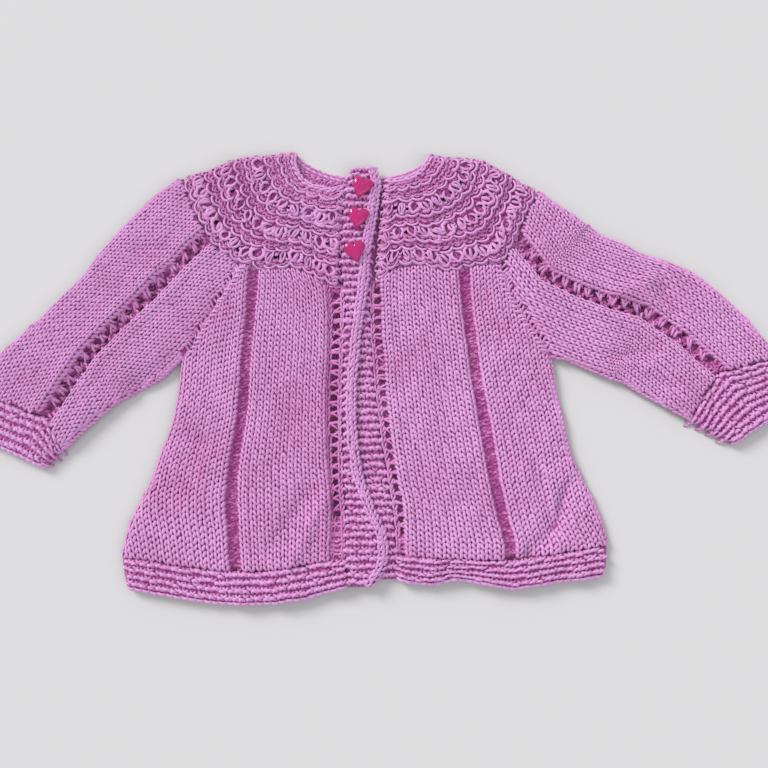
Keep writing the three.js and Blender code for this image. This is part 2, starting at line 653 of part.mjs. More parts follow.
function sleeveFront(sleeve) {
  const place = (s, t) => sleevePoint(sleeve, s, mix(SLEEVE_START, 0.998, t));
  const layer = (s, t, point) => {
    const hump = Math.sin(Math.PI * s) ** 0.6;
    const laceDip = Math.exp(-(((s - SLEEVE_LACE) / 0.05) ** 2));
    const settle = mix(0.55, 1, Math.sin(Math.PI * mix(0.05, 0.8, t)));
    const rise = Math.max(SLEEVE_CROWN * hump * settle * (1 - 0.75 * laceDip) + creaseAt(point), 0);
    const distance = fromFolds(sleeve, s, t);
    const lift = FRONT_FLOOR + rise;
    const thickness = mix(KNIT_WALL, LACE_WALL, laceDip);
    return { under: foldedUnder(lift, distance), upper: upperFace(lift, thickness, distance) };
  };
  return wall(SLEEVE_ACROSS, evenShares(10), place, layer);
}

// Eyelets down the middle of a sleeve's lace column.
function sleeveEyelets(sleeve) {
  const eyelets = [];
  for (let number = 0; number < SLEEVE_EYELETS; number += 1) {
    const t = mix(0.06, 0.94, number / (SLEEVE_EYELETS - 1));
    const point = sleevePoint(sleeve, SLEEVE_LACE, t);
    const next = sleevePoint(sleeve, SLEEVE_LACE, t + 0.02);
    const turn = Math.atan2(next[1] - point[1], next[0] - point[0]);
    eyelets.push({ point, turn, size: mix(0.98, 0.86, t) });
  }
  return eyelets;
}

// The back wall of a sleeve or cuff lies inside its folds.
const BACK_ACROSS = [0.035, 0.07, 0.2, 0.4, 0.6, 0.8, 0.93, 0.965];
const backEdge = (s) => Math.min(s - BACK_ACROSS[0], 1 - BACK_ACROSS[0] - s) * 60;

function sleeveBack(sleeve) {
  const place = (s, t) => sleevePoint(sleeve, s, mix(SLEEVE_START, 0.996, t));
  const layer = (s) => ({ under: 0, upper: upperFace(0, BACK_WALL, backEdge(s)) });
  return wall(BACK_ACROSS, evenShares(6), place, layer);
}

// A cuff carries the sleeve's last row on to the cuff's end, with garter ridges round it.
function cuffPoint(sleeve, s, t) {
  const last = sleeve.rows[sleeve.rows.length - 1];
  const start = sleeveRow(last, s);
  const full = Math.hypot(last.upper[0] - last.underarm[0], last.upper[1] - last.underarm[1]);
  const share = Math.hypot(start[0] - last.upper[0], start[1] - last.upper[1]) / full;
  const end = mixPoint(sleeve.cuffEnd.upper, sleeve.cuffEnd.underarm, clamp(share, 0, 1));
  return mixPoint(start, end, t);
}

function cuffFront(sleeve) {
  const ridges = 12;
  const place = (s, t) => cuffPoint(sleeve, s, mix(0.015, 1, t));
  const layer = (s, t) => {
    const [x, y] = cuffPoint(sleeve, s, t);
    const folds = [cuffPoint(sleeve, 0, t), cuffPoint(sleeve, 1, t)];
    const distance = Math.min(...folds.map((fold) => Math.hypot(x - fold[0], y - fold[1])));
    const ridge = Math.round(t * ridges) % 2 === 1 ? GARTER_RELIEF : 0;
    const lift = FRONT_FLOOR + mix(1.6, 0.9, t) * Math.sin(Math.PI * s) ** 0.7;
    const upper = upperFace(lift, GARTER_WALL - 0.4, distance) + ridge * Math.min(1, distance / 3);
    return { under: foldedUnder(lift, distance), upper };
  };
  return wall([0, 0.02, 0.08, 0.24, 0.36, 0.48, 0.6, 0.8, 0.92, 0.98, 1], evenShares(ridges), place, layer);
}

function cuffBack(sleeve) {
  const place = (s, t) => cuffPoint(sleeve, s, mix(0.015, 0.97, t));
  const layer = (s) => ({ under: 0, upper: upperFace(0, BACK_WALL, backEdge(s)) });
  return wall(BACK_ACROSS, evenShares(3), place, layer);
}

// A domed heart button that lies on the button band.
function heartButton({ x, y, turn }) {
  const half = BUTTON_WIDTH / 2 - BUTTON_BEVEL;
  const high = BUTTON_HEIGHT / 2 - BUTTON_BEVEL;
  const shape = new THREE.Shape();
  shape.moveTo(0, -high);
  shape.bezierCurveTo(half * 0.5, -high * 0.5, half, -high * 0.1, half, high * 0.35);
  shape.bezierCurveTo(half, high * 1.05, half * 0.15, high * 1.15, 0, high * 0.5);
  shape.bezierCurveTo(-half * 0.15, high * 1.15, -half, high * 1.05, -half, high * 0.35);
  shape.bezierCurveTo(-half, -high * 0.1, -half * 0.5, -high * 0.5, 0, -high);
  const geometry = new THREE.ExtrudeGeometry(shape, {
    depth: BUTTON_THICKNESS - 2 * BUTTON_BEVEL,
    bevelThickness: BUTTON_BEVEL,
    bevelSize: BUTTON_BEVEL,
    bevelSegments: 2,
    curveSegments: 5,
  });
  geometry.rotateZ(turn);
  geometry.translate(x, y, BUTTON_BEVEL + BAND_FLOOR + GARTER_WALL + BUTTON_SEAT);
  return geometry;
}

addPiece('back_panel', backGrid(14, 8, backRim, (x) => backHemEdge(x, 'upper') + SEAM_GAP, 0));
addPiece('back_hem', backGrid(14, 6, (x) => backHemEdge(x, 'upper') - SEAM_GAP, (x) => backHemEdge(x, 'lower'), 0.4));
addPiece('yoke_back', backYoke());

const rightPanel = frontPanel(RIGHT_FRONT, RIGHT_YOKE, RIGHT_HEM, GARTER_WALL + LAYER_GAP);
addPiece('front_right_panel', cutEyelets(rightPanel, frontEyelets(RIGHT_FRONT, 184, 52)));
addPiece('front_right_hem', garterHem(RIGHT_FRONT, RIGHT_HEM, GARTER_WALL + LAYER_GAP));
const leftPanel = frontPanel(LEFT_FRONT, LEFT_YOKE, LEFT_HEM, 0);
addPiece('front_left_panel', cutEyelets(leftPanel, frontEyelets(LEFT_FRONT, 187, 40)));
addPiece('front_left_hem', garterHem(LEFT_FRONT, LEFT_HEM, 0));

addPiece('under_band', garterBand(UNDER_BAND, FRONT_FLOOR, [0, 1], 0));
addPiece('button_band', garterBand(BUTTON_BAND, BAND_FLOOR, [0, 0.6, 0.85, 1], 0.5));

addPiece('yoke_front_right', frontYoke(RIGHT_YOKE));
addPiece('yoke_front_left', frontYoke(LEFT_YOKE));

const RIGHT_ARM = {
  rows: RIGHT_SLEEVE, cuffEnd: RIGHT_CUFF_END, yoke: RIGHT_YOKE, cornerSpoke: 4, front: RIGHT_FRONT,
};
const LEFT_ARM = {
  rows: LEFT_SLEEVE, cuffEnd: LEFT_CUFF_END, yoke: LEFT_YOKE, cornerSpoke: 5, front: LEFT_FRONT,
};
for (const [side, sleeve] of [['right', RIGHT_ARM], ['left', LEFT_ARM]]) {
  addPiece(`sleeve_${side}_front`, cutEyelets(sleeveFront(sleeve), sleeveEyelets(sleeve)));
  addPiece(`sleeve_${side}_back`, sleeveBack(sleeve));
  addPiece(`cuff_${side}_front`, cuffFront(sleeve));
  addPiece(`cuff_${side}_back`, cuffBack(sleeve));
}

BUTTONS.forEach((button, number) => addPiece(`heart_button_${number + 1}`, heartButton(button), GLOSSY));

// The middle of the whole garment's plan lies over the origin, and its underside at Z 0.
const box = new THREE.Box3().setFromObject(group);
const centre = box.getCenter(new THREE.Vector3());
group.position.set(-centre.x, -centre.y, -box.min.z);
group.updateMatrixWorld(true);

export default group;
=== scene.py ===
"""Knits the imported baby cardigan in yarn: cloth, stitches, seams and buttons, with its stage and camera."""
import math
import bmesh
import bpy
import numpy as np
from bpy.props import FloatProperty, FloatVectorProperty, PointerProperty
from mathutils import Matrix, Vector
from mathutils.bvhtree import BVHTree


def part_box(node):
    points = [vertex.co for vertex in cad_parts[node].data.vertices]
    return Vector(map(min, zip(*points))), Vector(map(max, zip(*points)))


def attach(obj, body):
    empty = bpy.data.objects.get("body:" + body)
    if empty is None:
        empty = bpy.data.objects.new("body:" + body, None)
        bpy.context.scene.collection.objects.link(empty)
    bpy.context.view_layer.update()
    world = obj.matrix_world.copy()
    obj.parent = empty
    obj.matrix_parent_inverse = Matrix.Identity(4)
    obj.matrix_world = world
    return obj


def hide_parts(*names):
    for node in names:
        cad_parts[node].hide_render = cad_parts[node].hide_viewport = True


bl_info = {
    "name": "Baby cardigan",
    "version": (1, 0, 0),
    "blender": (4, 5, 0),
    "location": "3D View > Sidebar > Cardigan",
    "description": "Knits a flat baby cardigan in yarn on its packed solids",
    "category": "Object",
}

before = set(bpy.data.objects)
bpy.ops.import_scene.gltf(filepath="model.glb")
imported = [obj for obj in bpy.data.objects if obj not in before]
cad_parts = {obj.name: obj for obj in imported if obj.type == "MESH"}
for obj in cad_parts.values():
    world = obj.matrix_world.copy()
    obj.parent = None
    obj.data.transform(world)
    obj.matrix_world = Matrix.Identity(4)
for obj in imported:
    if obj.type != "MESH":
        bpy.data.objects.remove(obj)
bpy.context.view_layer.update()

MM = 0.001
SEED = 11

# One stitch and one row of the knitting, in millimetres.
STITCH = 3.9
ROW = 3.1

# The tables hold millimetres from the middle of the hem, as the solids' source does.
# The row frame's origin lies under the middle of the whole outline.
CENTRE = np.array([7.7, 138.0])

FRONT_COLUMNS = ("y", "side", "lace_outer", "lace_inner", "eyelet_outer", "band_edge")
RIGHT_FRONT = (
    (204, -77, -71, -65, -31, -15),
    (189, -86.5, -72, -66, -24.5, -13.5),
    (174, -95, -72.5, -67, -23, -13),
    (148, -110, -74.5, -69, -23, -14),
    (130, -111.5, -75.5, -69.5, -24, -14.5),
    (110, -114, -77, -71, -24, -14.5),
    (82, -123.5, -81, -75, -22.5, -14),
    (65, -130, -82.5, -75.5, -20.5, -13),
    (54, -136.5, -82, -75, -20, -12.5),
    (41, -140.5, -80.5, -74, -20.5, -12),
    (29, -143, -79.5, -73, -21, -12),
    (18, -141, -78.5, -72, -21, -11.5),
    (4, -137, -77, -71.5, -20.5, -11),
)
LEFT_FRONT = (
    (204, 83.5, 62.5, 56, 9, 3),
    (189, 87.5, 63, 57, 8.5, 2.5),
    (174, 95.5, 64, 58, 9, 2.5),
    (155, 108.5, 66.5, 60.5, 10, 3.5),
    (146, 111.5, 67.5, 61.5, 11, 4.5),
    (131, 113, 69.5, 63.5, 11.5, 5.5),
    (115, 116.5, 72.5, 66, 13, 7.5),
    (88, 121.5, 77, 70.5, 16.5, 11),
    (73, 128.5, 79, 73, 19, 13.5),
    (60, 135, 82, 75.5, 22, 16),
    (48, 139, 84.5, 78.5, 22.5, 17.5),
    (37, 142, 87.5, 81.5, 22.5, 18),
    (24, 141, 88, 81.5, 23, 18),
    (10, 135.5, 88, 81.5, 23, 18.5),
)
HEM_COLUMNS = ("x", "upper", "lower")
RIGHT_HEM = (
    (-144, 29, 12),
    (-127, 27, 8.8),
    (-108, 24, 5.4),
    (-84, 21, 2),
    (-58, 21, 2),
    (-35, 25, 4.8),
    (-11, 28, 12),
)
LEFT_HEM = (
    (18, 30.5, 16),
    (27, 29, 14),
    (39, 28, 13),
    (52, 28, 16),
    (64, 27.5, 14.5),
    (85, 27, 10.5),
    (112, 31, 14.5),
    (143, 36, 18),
)
# Rows of a band: y, x where it is joined, and x of its free edge.
BUTTON_BAND = (
    (265, -9, 6),
    (255, -12, 9),
    (242, -14, 7.4),
    (228, -15, 5.3),
    (213, -16, 2.5),
    (197, -14.6, 1.7),
    (174, -13, -1.3),
    (159, -13.6, -3.3),
    (136, -14.4, -5.4),
    (115, -14.6, -6.1),
    (94, -14.2, -4.7),
    (75, -13.6, -1.6),
    (58, -12.8, 5),
    (43, -12.1, 12),
    (31, -11.9, 13.4),
    (22, -11.5, 11.4),
    (12, -11, 4),
)
UNDER_BAND = (
    (258, 10, -9),
    (242, 8, -11),
    (213, 3.5, -13),
    (189, 2.5, -11),
    (174, 2.5, -10.5),
    (155, 3.5, -11),
    (131, 5.5, -12),
    (115, 7.5, -12),
    (88, 11, -8.8),
    (60, 16, -4),
    (37, 18, -2),
    (16, 18.4, -1.5),
)
# Yoke spokes: neck, middle and rim, from the band round to the shoulder fold.
RIGHT_YOKE = (
    ((-11.4, 255), (-14.7, 224), (-15.3, 189)),
    ((-22.5, 251), (-24.7, 224.4), (-27, 194.4)),
    ((-33, 253.6), (-38.3, 229), (-44.7, 202)),
    ((-38.6, 257.4), (-50.6, 230.7), (-63.5, 201)),
    ((-41.7, 262), (-60.4, 234.5), (-78.3, 205)),
    ((-43, 266), (-68.6, 242.8), (-93.8, 217)),
    ((-43.7, 270), (-74.3, 255), (-104.7, 236.4)),
    ((-43, 274), (-78.3, 271), (-112.7, 258.7)),
)
LEFT_YOKE = (
    ((10.8, 258), (7.9, 225.7), (4.7, 191.3)),
    ((18.2, 257.4), (17.2, 230), (17, 202)),
    ((25, 258.7), (28, 230.7), (32, 204)),
    ((30.6, 261.2), (40.3, 231.4), (49.2, 199.5)),
    ((33.7, 264.4), (50, 235.2), (68.7, 203.2)),
    ((35.5, 267), (58.8, 241), (83.5, 205.5)),
    ((36.8, 269), (67, 251), (93, 226)),
    ((38, 272), (71.5, 270), (105, 251)),
)
# Sleeve rows from the seam to the cuff: upper fold, lace column, lower side and underarm fold.
RIGHT_SLEEVE = (
    ((-112.7, 258), (-98, 222), (-78.3, 204), (-110, 147)),
    ((-128.4, 249.8), (-112, 206), (-98, 182), (-124, 134)),
    ((-150.4, 227), (-132.5, 183), (-119.6, 158), (-136, 128)),
    ((-172, 197.6), (-152, 164), (-139, 142), (-148.5, 121)),
    ((-196.3, 171.6), (-166.5, 148), (-155, 131), (-160, 111.6)),
    ((-220.5, 149), (-179, 129), (-169, 115), (-170.5, 102)),
    ((-241.7, 128.7), (-190, 110.4), (-184, 101.4), (-180.7, 92)),
)
LEFT_SLEEVE = (
    ((105, 250.5), (94, 219), (83.6, 205), (111.4, 147)),
    ((124, 237), (109, 196.5), (102.5, 182), (123, 145)),
    ((145, 222), (128, 187.6), (122, 173), (139.4, 137.4)),
    ((167, 211.3), (148, 180), (143, 161), (156, 131.4)),
    ((197.3, 200.7), (168, 174), (163.5, 152), (171.3, 122)),
    ((225.4, 177), (189.5, 158), (185, 138), (185, 114.6)),
    ((248, 146.5), (212, 137.5), (201, 124), (194, 109.2)),
)
# Creases that the photograph shows: from, to, rise (below nought for a trough) and half width.
CREASES = {
    "front_right_panel": (
        ((-25, 62), (-46, 20), 2.5, 4.0),
        ((-34, 66), (-56, 34), -1.9, 4.0),
        ((-110, 101), (-95, 95), -2.4, 4.0),
    ),
    "front_left_panel": (
        ((100, 84), (108, 52), -2.9, 2.6),
        ((106, 78), (111, 50), 1.9, 2.6),
        ((119, 71), (112, 46), -3.2, 3.2),
        ((112, 46), (85, 21), -2.7, 4.5),
        ((24, 33), (44, 25), -2.5, 4.0),
        ((44, 138), (48, 92), -1.9, 6.0),
    ),
    "sleeve_right_front": (
        ((-137, 213), (-119, 208), -2.5, 5.0),
        ((-175, 182), (-168, 176), -2.4, 5.0),
        ((-113, 177), (-100, 160), -2.2, 4.5),
        ((-118, 170), (-104, 154), 2.0, 4.0),
        ((-165, 136), (-152, 124), -2.5, 3.5),
        ((-110, 150), (-136, 130), -2.4, 5.0),
    ),
    "sleeve_left_front": (
        ((152, 184), (174, 195), 2.4, 5.0),
        ((181, 186), (185, 172), -2.2, 5.5),
        ((150, 147), (170, 150), -2.5, 4.0),
        ((181, 146), (206, 122), 2.2, 5.0),
        ((170, 135), (184, 129), -2.2, 3.5),
        ((87, 222), (95, 206), -2.5, 4.0),
    ),
}
SLEEVE_STOPS = (0.0, 0.36, 0.6, 1.0)
SLEEVE_LACE = SLEEVE_STOPS[1]


class Side:
    """One half of the garment: its tables, which way is outward, the yoke spoke at the sleeve's seam, and the
    highest and lowest eyelet beside the band."""

    def __init__(self, word, outward, front, hem, yoke, sleeve, cuff_end, corner, eyelets):
        self.word = word
        self.outward = outward
        self.front = {name: column(front, place) for place, name in enumerate(FRONT_COLUMNS)}
        self.hem = {name: column(hem, place) for place, name in enumerate(HEM_COLUMNS)}
        self.yoke = np.array(yoke, float)
        self.sleeve = np.array(sleeve, float)
        self.cuff_end = np.array(cuff_end, float)
        self.corner = corner
        self.eyelets = eyelets

    def edge(self, name, y):
        return read(self.front["y"], self.front[name], y)

    def hem_edge(self, name, x):
        return read(self.hem["x"], self.hem[name], x)

    def rim(self, x):
        points = self.yoke[:6, 2]
        return read(points[:, 0], points[:, 1], x) - 0.6


def column(rows, place):
    return np.array([row[place] for row in rows], float)


def read(keys, values, at):
    """Straight-line reading of a table column, whichever way the table runs."""
    if keys[-1] < keys[0]:
        return np.interp(at, keys[::-1], values[::-1])
    return np.interp(at, keys, values)


def mix(a, b, share):
    return a + (b - a) * share


def along(points, share):
    """Points at shares of the way along a list of points."""
    place = np.clip(np.asarray(share, float), 0, 1) * (len(points) - 1)
    first = np.minimum(place.astype(int), len(points) - 2)
    rest = (place - first)[..., None]
    return points[first] * (1 - rest) + points[first + 1] * rest


RIGHT_CUFF_END = ((-248.2, 106.2), (-191, 80.7))
LEFT_CUFF_END = ((263.6, 123), (219, 94.3))
RIGHT = Side("right", -1, RIGHT_FRONT, RIGHT_HEM, RIGHT_YOKE, RIGHT_SLEEVE, RIGHT_CUFF_END, 4, (184, 52))
LEFT = Side("left", 1, LEFT_FRONT, LEFT_HEM, LEFT_YOKE, LEFT_SLEEVE, LEFT_CUFF_END, 5, (187, 40))

# Sizes in millimetres: garter ridges, holes as width and height, and the cloth between stitches.
GARTER_PITCH = 4.5
GARTER_BUMP = 4.5
EYELET_PITCH = 6.2
EYELET_HOLE = (5.2, 4.1)
SLEEVE_EYELETS = 16
SLEEVE_HOLE = (4.2, 3.9)
YOKE_HOLE = (3.4, 3.4)
WIDE_COLUMN = 7.6
GROUND_THICKNESS = 0.8
BACK_THICKNESS = 2.1
SEAM_INSET = 0.3
KNIT_SINK = 1.05
GARTER_SINK = 0.95
YOKE_SINK = 1.25
STITCH_SINK = 0.45
FLOOR_CLEARANCE = 0.15

# Free cloth lies unevenly. It rolls up beside its lace columns and sinks in them.
UNEVENNESS = 2.2
LACE_ROLL = 1.8
LACE_ROLL_AT = 3.2
LACE_ROLL_WIDTH = 3.0
LACE_DROP = 1.1
SLEEVE_LACE_HALF = 4.6

# The height maps made so far, by node.
HEIGHTS = {}


def distance_to_line(points, start, end):
    """Plan distances from points to the straight line between two others."""
    start = np.array(start, float)
    way = np.array(end, float) - start
    share = np.clip((points - start) @ way / (way @ way), 0, 1)
    return np.linalg.norm(points - start - share[..., None] * way, axis=-1)


class HeightMap:
    """The top of a CAD piece over its plan, smoothed, and falling away outside its edge."""

    STEP = 1.5
    MARGIN = 7.5
    BLUR = 0.9
    FALL = 1.0

    def __init__(self, node, unevenness, lace=None):
        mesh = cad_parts[node].data
        corners = [vertex.co for vertex in mesh.vertices]
        tree = BVHTree.FromPolygons(corners, [face.vertices for face in mesh.polygons])
        low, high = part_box(node)
        self.low = np.array([low.x, low.y]) / MM - self.MARGIN
        top = np.array([high.x, high.y]) / MM + self.MARGIN
        count = np.ceil((top - self.low) / self.STEP).astype(int) + 1
        field = np.full((count[0], count[1]), np.nan)
        down = Vector((0, 0, -1))
        for i in range(count[0]):
            for j in range(count[1]):
                place = (self.low + self.STEP * np.array([i, j])) * MM
                hit = tree.ray_cast(Vector((place[0], place[1], high.z + 0.01)), down)
                if hit[0] is not None:
                    field[i, j] = hit[0].z / MM
        self.field = self.blurred(self.filled(field, self.FALL * self.STEP), self.BLUR)
        self.field += unevenness * self.soft_waves(count)
        steps = [np.arange(number) * self.STEP for number in count]
        grid = np.stack(np.meshgrid(*steps, indexing="ij"), axis=-1) + self.low + CENTRE
        for start, end, rise, half_width in CREASES.get(node, ()):
            self.field += rise * np.exp(-((distance_to_line(grid, start, end) / half_width) ** 2))
        if lace is not None:
            away = lace(grid)
            roll = LACE_ROLL * np.exp(-(((away - LACE_ROLL_AT) / LACE_ROLL_WIDTH) ** 2))
            self.field += np.where(away > 0, roll, -LACE_DROP)
            self.field = self.blurred(self.field, 0.6)

    def soft_waves(self, count):
        """Gentle rises between 0 and 1, as relaxed knitting has when it lies flat."""
        random = np.random.default_rng([SEED, int(abs(self.low).sum())])
        x, y = np.meshgrid(*[np.arange(number) * self.STEP for number in count], indexing="ij")
        total = np.zeros(x.shape)
        for length in (46.0, 31.0, 24.0, 17.0):
            angle = random.uniform(-0.9, 0.9)
            phase = random.uniform(0, 2 * math.pi)
            total += np.sin((x * math.cos(angle) + y * math.sin(angle)) * 2 * math.pi / length + phase)
        return 0.5 + total / 8

    @staticmethod
    def filled(field, drop):
        """Cells with no cloth take their neighbours' height, a little lower at each step outwards."""
        while np.isnan(field).any():
            padded = np.pad(field, 1, constant_values=np.nan)
            around = np.stack([padded[:-2, 1:-1], padded[2:, 1:-1], padded[1:-1, :-2], padded[1:-1, 2:]])
            known = ~np.isnan(around)
            total = np.where(known, around, 0).sum(0)
            number = known.sum(0)
            ready = np.isnan(field) & (number > 0)
            field = np.where(ready, total / np.maximum(number, 1) - drop, field)
        return np.maximum(field, 0.5)

    @staticmethod
    def blurred(field, width):
        reach = np.arange(-4, 5)
        weights = np.exp(-(reach ** 2) / (2 * width ** 2))
        weights /= weights.sum()
        for axis in (0, 1):
            padded = np.pad(field, [(4, 4) if axis == side else (0, 0) for side in (0, 1)], mode="edge")
            field = sum(
                weight * np.take(padded, np.arange(field.shape[axis]) + step, axis=axis)
                for step, weight in enumerate(weights)
            )
        return field

    def __call__(self, xy):
        """Heights in millimetres at points of the tables' plane."""
        place = (xy - CENTRE - self.low) / self.STEP
        top = np.array(self.field.shape) - 1.001
        place = np.clip(place, 0, top)
        cell = place.astype(int)
        rest = place - cell
        i, j = cell[..., 0], cell[..., 1]
        u, v = rest[..., 0], rest[..., 1]
        field = self.field
        near = field[i, j] * (1 - u) + field[i + 1, j] * u
        far = field[i, j + 1] * (1 - u) + field[i + 1, j + 1] * u
        return near * (1 - v) + far * v


def front_lace_distance(side):
    """How far plan points lie outside a front's lace and eyelet columns, along X."""

    def away(xy):
        x, y = xy[..., 0], xy[..., 1]
        gaps = []
        for first, second in (("lace_inner", "lace_outer"), ("band_edge", "eyelet_outer")):
            one, two = side.edge(first, y), side.edge(second, y)
            gaps.append(np.maximum(np.minimum(one, two) - x, x - np.maximum(one, two)))
        return np.minimum(*gaps)

    return away


def sleeve_lace_distance(side):
    """How far plan points lie outside a sleeve's lace column."""

    def away(xy):
        line = sleeve_plan(side)(np.full(60, SLEEVE_LACE), np.linspace(0, 1, 60))
        gaps = np.linalg.norm(xy[..., None, :] - line, axis=-1)
        return gaps.min(axis=-1) - SLEEVE_LACE_HALF

    return away


def heights_of(node):
    """The height map of a piece. Only what lies free on top is uneven."""
    if node not in HEIGHTS:
        free = node.startswith(("front", "sleeve", "yoke_front")) and not node.endswith("back")
        side = LEFT if "left" in node else RIGHT
        lace = None
        if node.startswith("front") and node.endswith("panel"):
            lace = front_lace_distance(side)
        if node.startswith("sleeve") and free:
            lace = sleeve_lace_distance(side)
        HEIGHTS[node] = HeightMap(node, UNEVENNESS if free else 0.0, lace)
    return HEIGHTS[node]


def turned(vectors, angles):
    """Plan vectors turned by an angle each."""
    cosine, sine = np.cos(angles), np.sin(angles)
    x, y = vectors[:, 0], vectors[:, 1]
    return np.stack([x * cosine - y * sine, x * sine + y * cosine], axis=-1)


def unit(vectors):
    """Plan vectors at length one."""
    return vectors / np.linalg.norm(vectors, axis=1)[:, None]


def square_to(vectors):
    """Plan vectors turned a quarter to the left."""
    return np.stack([-vectors[:, 1], vectors[:, 0]], axis=-1)


def all_alike(vector, number):
    """One plan vector, repeated."""
    return np.tile(np.array(vector, float), (number, 1))


def alternate(number):
    """One and minus one by turns."""
    return np.where(np.arange(number) % 2 == 0, 1.0, -1.0)


def run_along(points):
    """Length of the way from the first point to each point."""
    return np.concatenate([[0], np.cumsum(np.linalg.norm(np.diff(points, axis=0), axis=1))])


def at_stops(stops, lengths, line):
    """Points of a line at stops along its length."""
    return np.stack([np.interp(stops, lengths, line[:, axis]) for axis in (0, 1)], axis=-1)


def add_piece(mesh, material, slot=None):
    """A mesh as an object of the scene, in its material. A slot makes it smooth and a piece of the body."""
    piece = bpy.data.objects.new(mesh.name, mesh)
    bpy.context.scene.collection.objects.link(piece)
    mesh.materials.append(bpy.data.materials[material])
    if slot:
        mesh.shade_smooth()
        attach(piece, "root")
    return piece


def mesh_of(bm, name):
    mesh = bpy.data.meshes.new(name)
    bm.to_mesh(mesh)
    bm.free()
    return mesh


class Strand:
    """A short length of yarn, the pattern that is laid down again for each stitch."""

    SIDES = 5
    END_SHARE = 0.55

    def __init__(self, path, thickness):
        path = np.array(path, float)
        bm = bmesh.new()
        rings, borders = [], []
        for number, point in enumerate(path):
            before = path[max(number - 1, 0)]
            after = path[min(number + 1, len(path) - 1)]
            turn = Vector(after - before).to_track_quat("Z", "Y").to_matrix().to_4x4()
            turn.translation = Vector(point)
            capped = number in (0, len(path) - 1)
            radius = thickness / 2 * (self.END_SHARE if capped else 1.0)
            options = {"segments": self.SIDES, "radius": radius, "matrix": turn, "cap_ends": capped}
            made = bmesh.ops.create_circle(bm, **options)["verts"]
            rings.append(made)
            borders.append(list(dict.fromkeys(edge for vertex in made for edge in vertex.link_edges)))
        bm.verts.index_update()
        places = {}
        for number, circle in enumerate(rings):
            for side, vertex in enumerate(circle):
                places[vertex.index] = (number, side)
        for first, second in zip(borders, borders[1:]):
            bmesh.ops.bridge_loops(bm, edges=first + second)
        bmesh.ops.recalc_face_normals(bm, faces=bm.faces)
        bm.verts.index_update()
        self.points = np.array([vertex.co for vertex in bm.verts])
        lengths = run_along(path)
        loops, starts, uvs = [], [], []
        for face in bm.faces:
            starts.append(len(loops))
            tags = [places[vertex.index] for vertex in face.verts]
            wraps = {side for _, side in tags} == {0, self.SIDES - 1}
            for vertex, (number, side) in zip(face.verts, tags):
                loops.append(vertex.index)
                around = self.SIDES if wraps and side == 0 else side
                uvs.append((around / self.SIDES, lengths[number]))
        bm.free()
        self.loops = np.array(loops)
        self.starts = np.array(starts)
        self.uvs = np.array(uvs)


class Knitting:
    """Collects the stitches of one piece and makes them one mesh."""

    TURN = 0.06
    GROWTH = 0.05

    def __init__(self, name, seed):
        self.name = name
        self.random = np.random.default_rng(SEED + seed)
        self.points, self.loops, self.starts = [], [], []
        self.uvs, self.tones, self.depths = [], [], []
        self.total_points = 0
        self.total_loops = 0

    def lay(self, strand, places, across, up, heights, lift=0.0, tone=1.0, jitter=0.1, scatter=0.08):
        """Lays a strand at each place. Across and up are the plan vectors of one millimetre of the strand."""
        number = len(places)
        if number == 0:
            return
        places = places + self.random.normal(0, jitter, places.shape)
        angles = self.random.normal(0, self.TURN, number)
        growth = self.random.normal(1, self.GROWTH, number)[:, None]
        across = turned(across, angles) * growth
        up = turned(up, angles) * growth
        local = strand.points
        plan = (
            places[:, None, :]
            + local[None, :, 0, None] * across[:, None, :]
            + local[None, :, 1, None] * up[:, None, :]
        )
        lifts = np.broadcast_to(np.asarray(lift, float), (number,))[:, None]
        raised = heights(plan) + lifts + local[None, :, 2] - STITCH_SINK
        raised = np.maximum(raised, FLOOR_CLEARANCE)
        solid = np.concatenate([plan - CENTRE, raised[..., None]], axis=2).reshape(-1, 3) * MM
        size = len(local)
        steps = np.arange(number)[:, None]
        self.points.append(solid)
        self.loops.append((strand.loops[None] + steps * size + self.total_points).reshape(-1))
        self.starts.append((strand.starts[None] + steps * len(strand.loops) + self.total_loops).reshape(-1))
        offset = self.random.uniform(0, 1, (number, 1, 1))
        self.uvs.append((strand.uvs[None] + offset * np.array([1.0, 7.0])).reshape(-1, 2))
        # Tone is a strand's lightness with random scatter; lower tones on sunken strands paint shade, higher
        # tones on raised strands paint highlight.
        tones = np.broadcast_to(np.asarray(tone, float), (number,)) + self.random.normal(0, scatter, number)
        self.tones.append(np.repeat(tones, size))
        # Height within the strand, from its lowest point to its crest; the yarn is painted darker by it where
        # the strand dips, as shade.
        depth = (local[:, 2] - local[:, 2].min()) / max(np.ptp(local[:, 2]), 0.01)
        self.depths.append(np.tile(depth, number))
        self.total_points += number * size
        self.total_loops += number * len(strand.loops)

    def finish(self):
        mesh = bpy.data.meshes.new(self.name)
        points = np.concatenate(self.points)
        loops = np.concatenate(self.loops)
        starts = np.concatenate(self.starts)
        mesh.vertices.add(len(points))
        mesh.vertices.foreach_set("co", points.reshape(-1))
        mesh.loops.add(len(loops))
        mesh.loops.foreach_set("vertex_index", loops.astype(np.int32))
        mesh.polygons.add(len(starts))
        mesh.polygons.foreach_set("loop_start", starts.astype(np.int32))
        mesh.uv_layers.new(name="strand").data.foreach_set("uv", np.concatenate(self.uvs).reshape(-1))
        mesh.attributes.new("tone", "FLOAT", "POINT").data.foreach_set("value", np.concatenate(self.tones))
        mesh.attributes.new("depth", "FLOAT", "POINT").data.foreach_set("value", np.concatenate(self.depths))
        mesh.update(calc_edges=True)
        mesh.validate()
        return add_piece(mesh, "plied_yarn", "yarn")


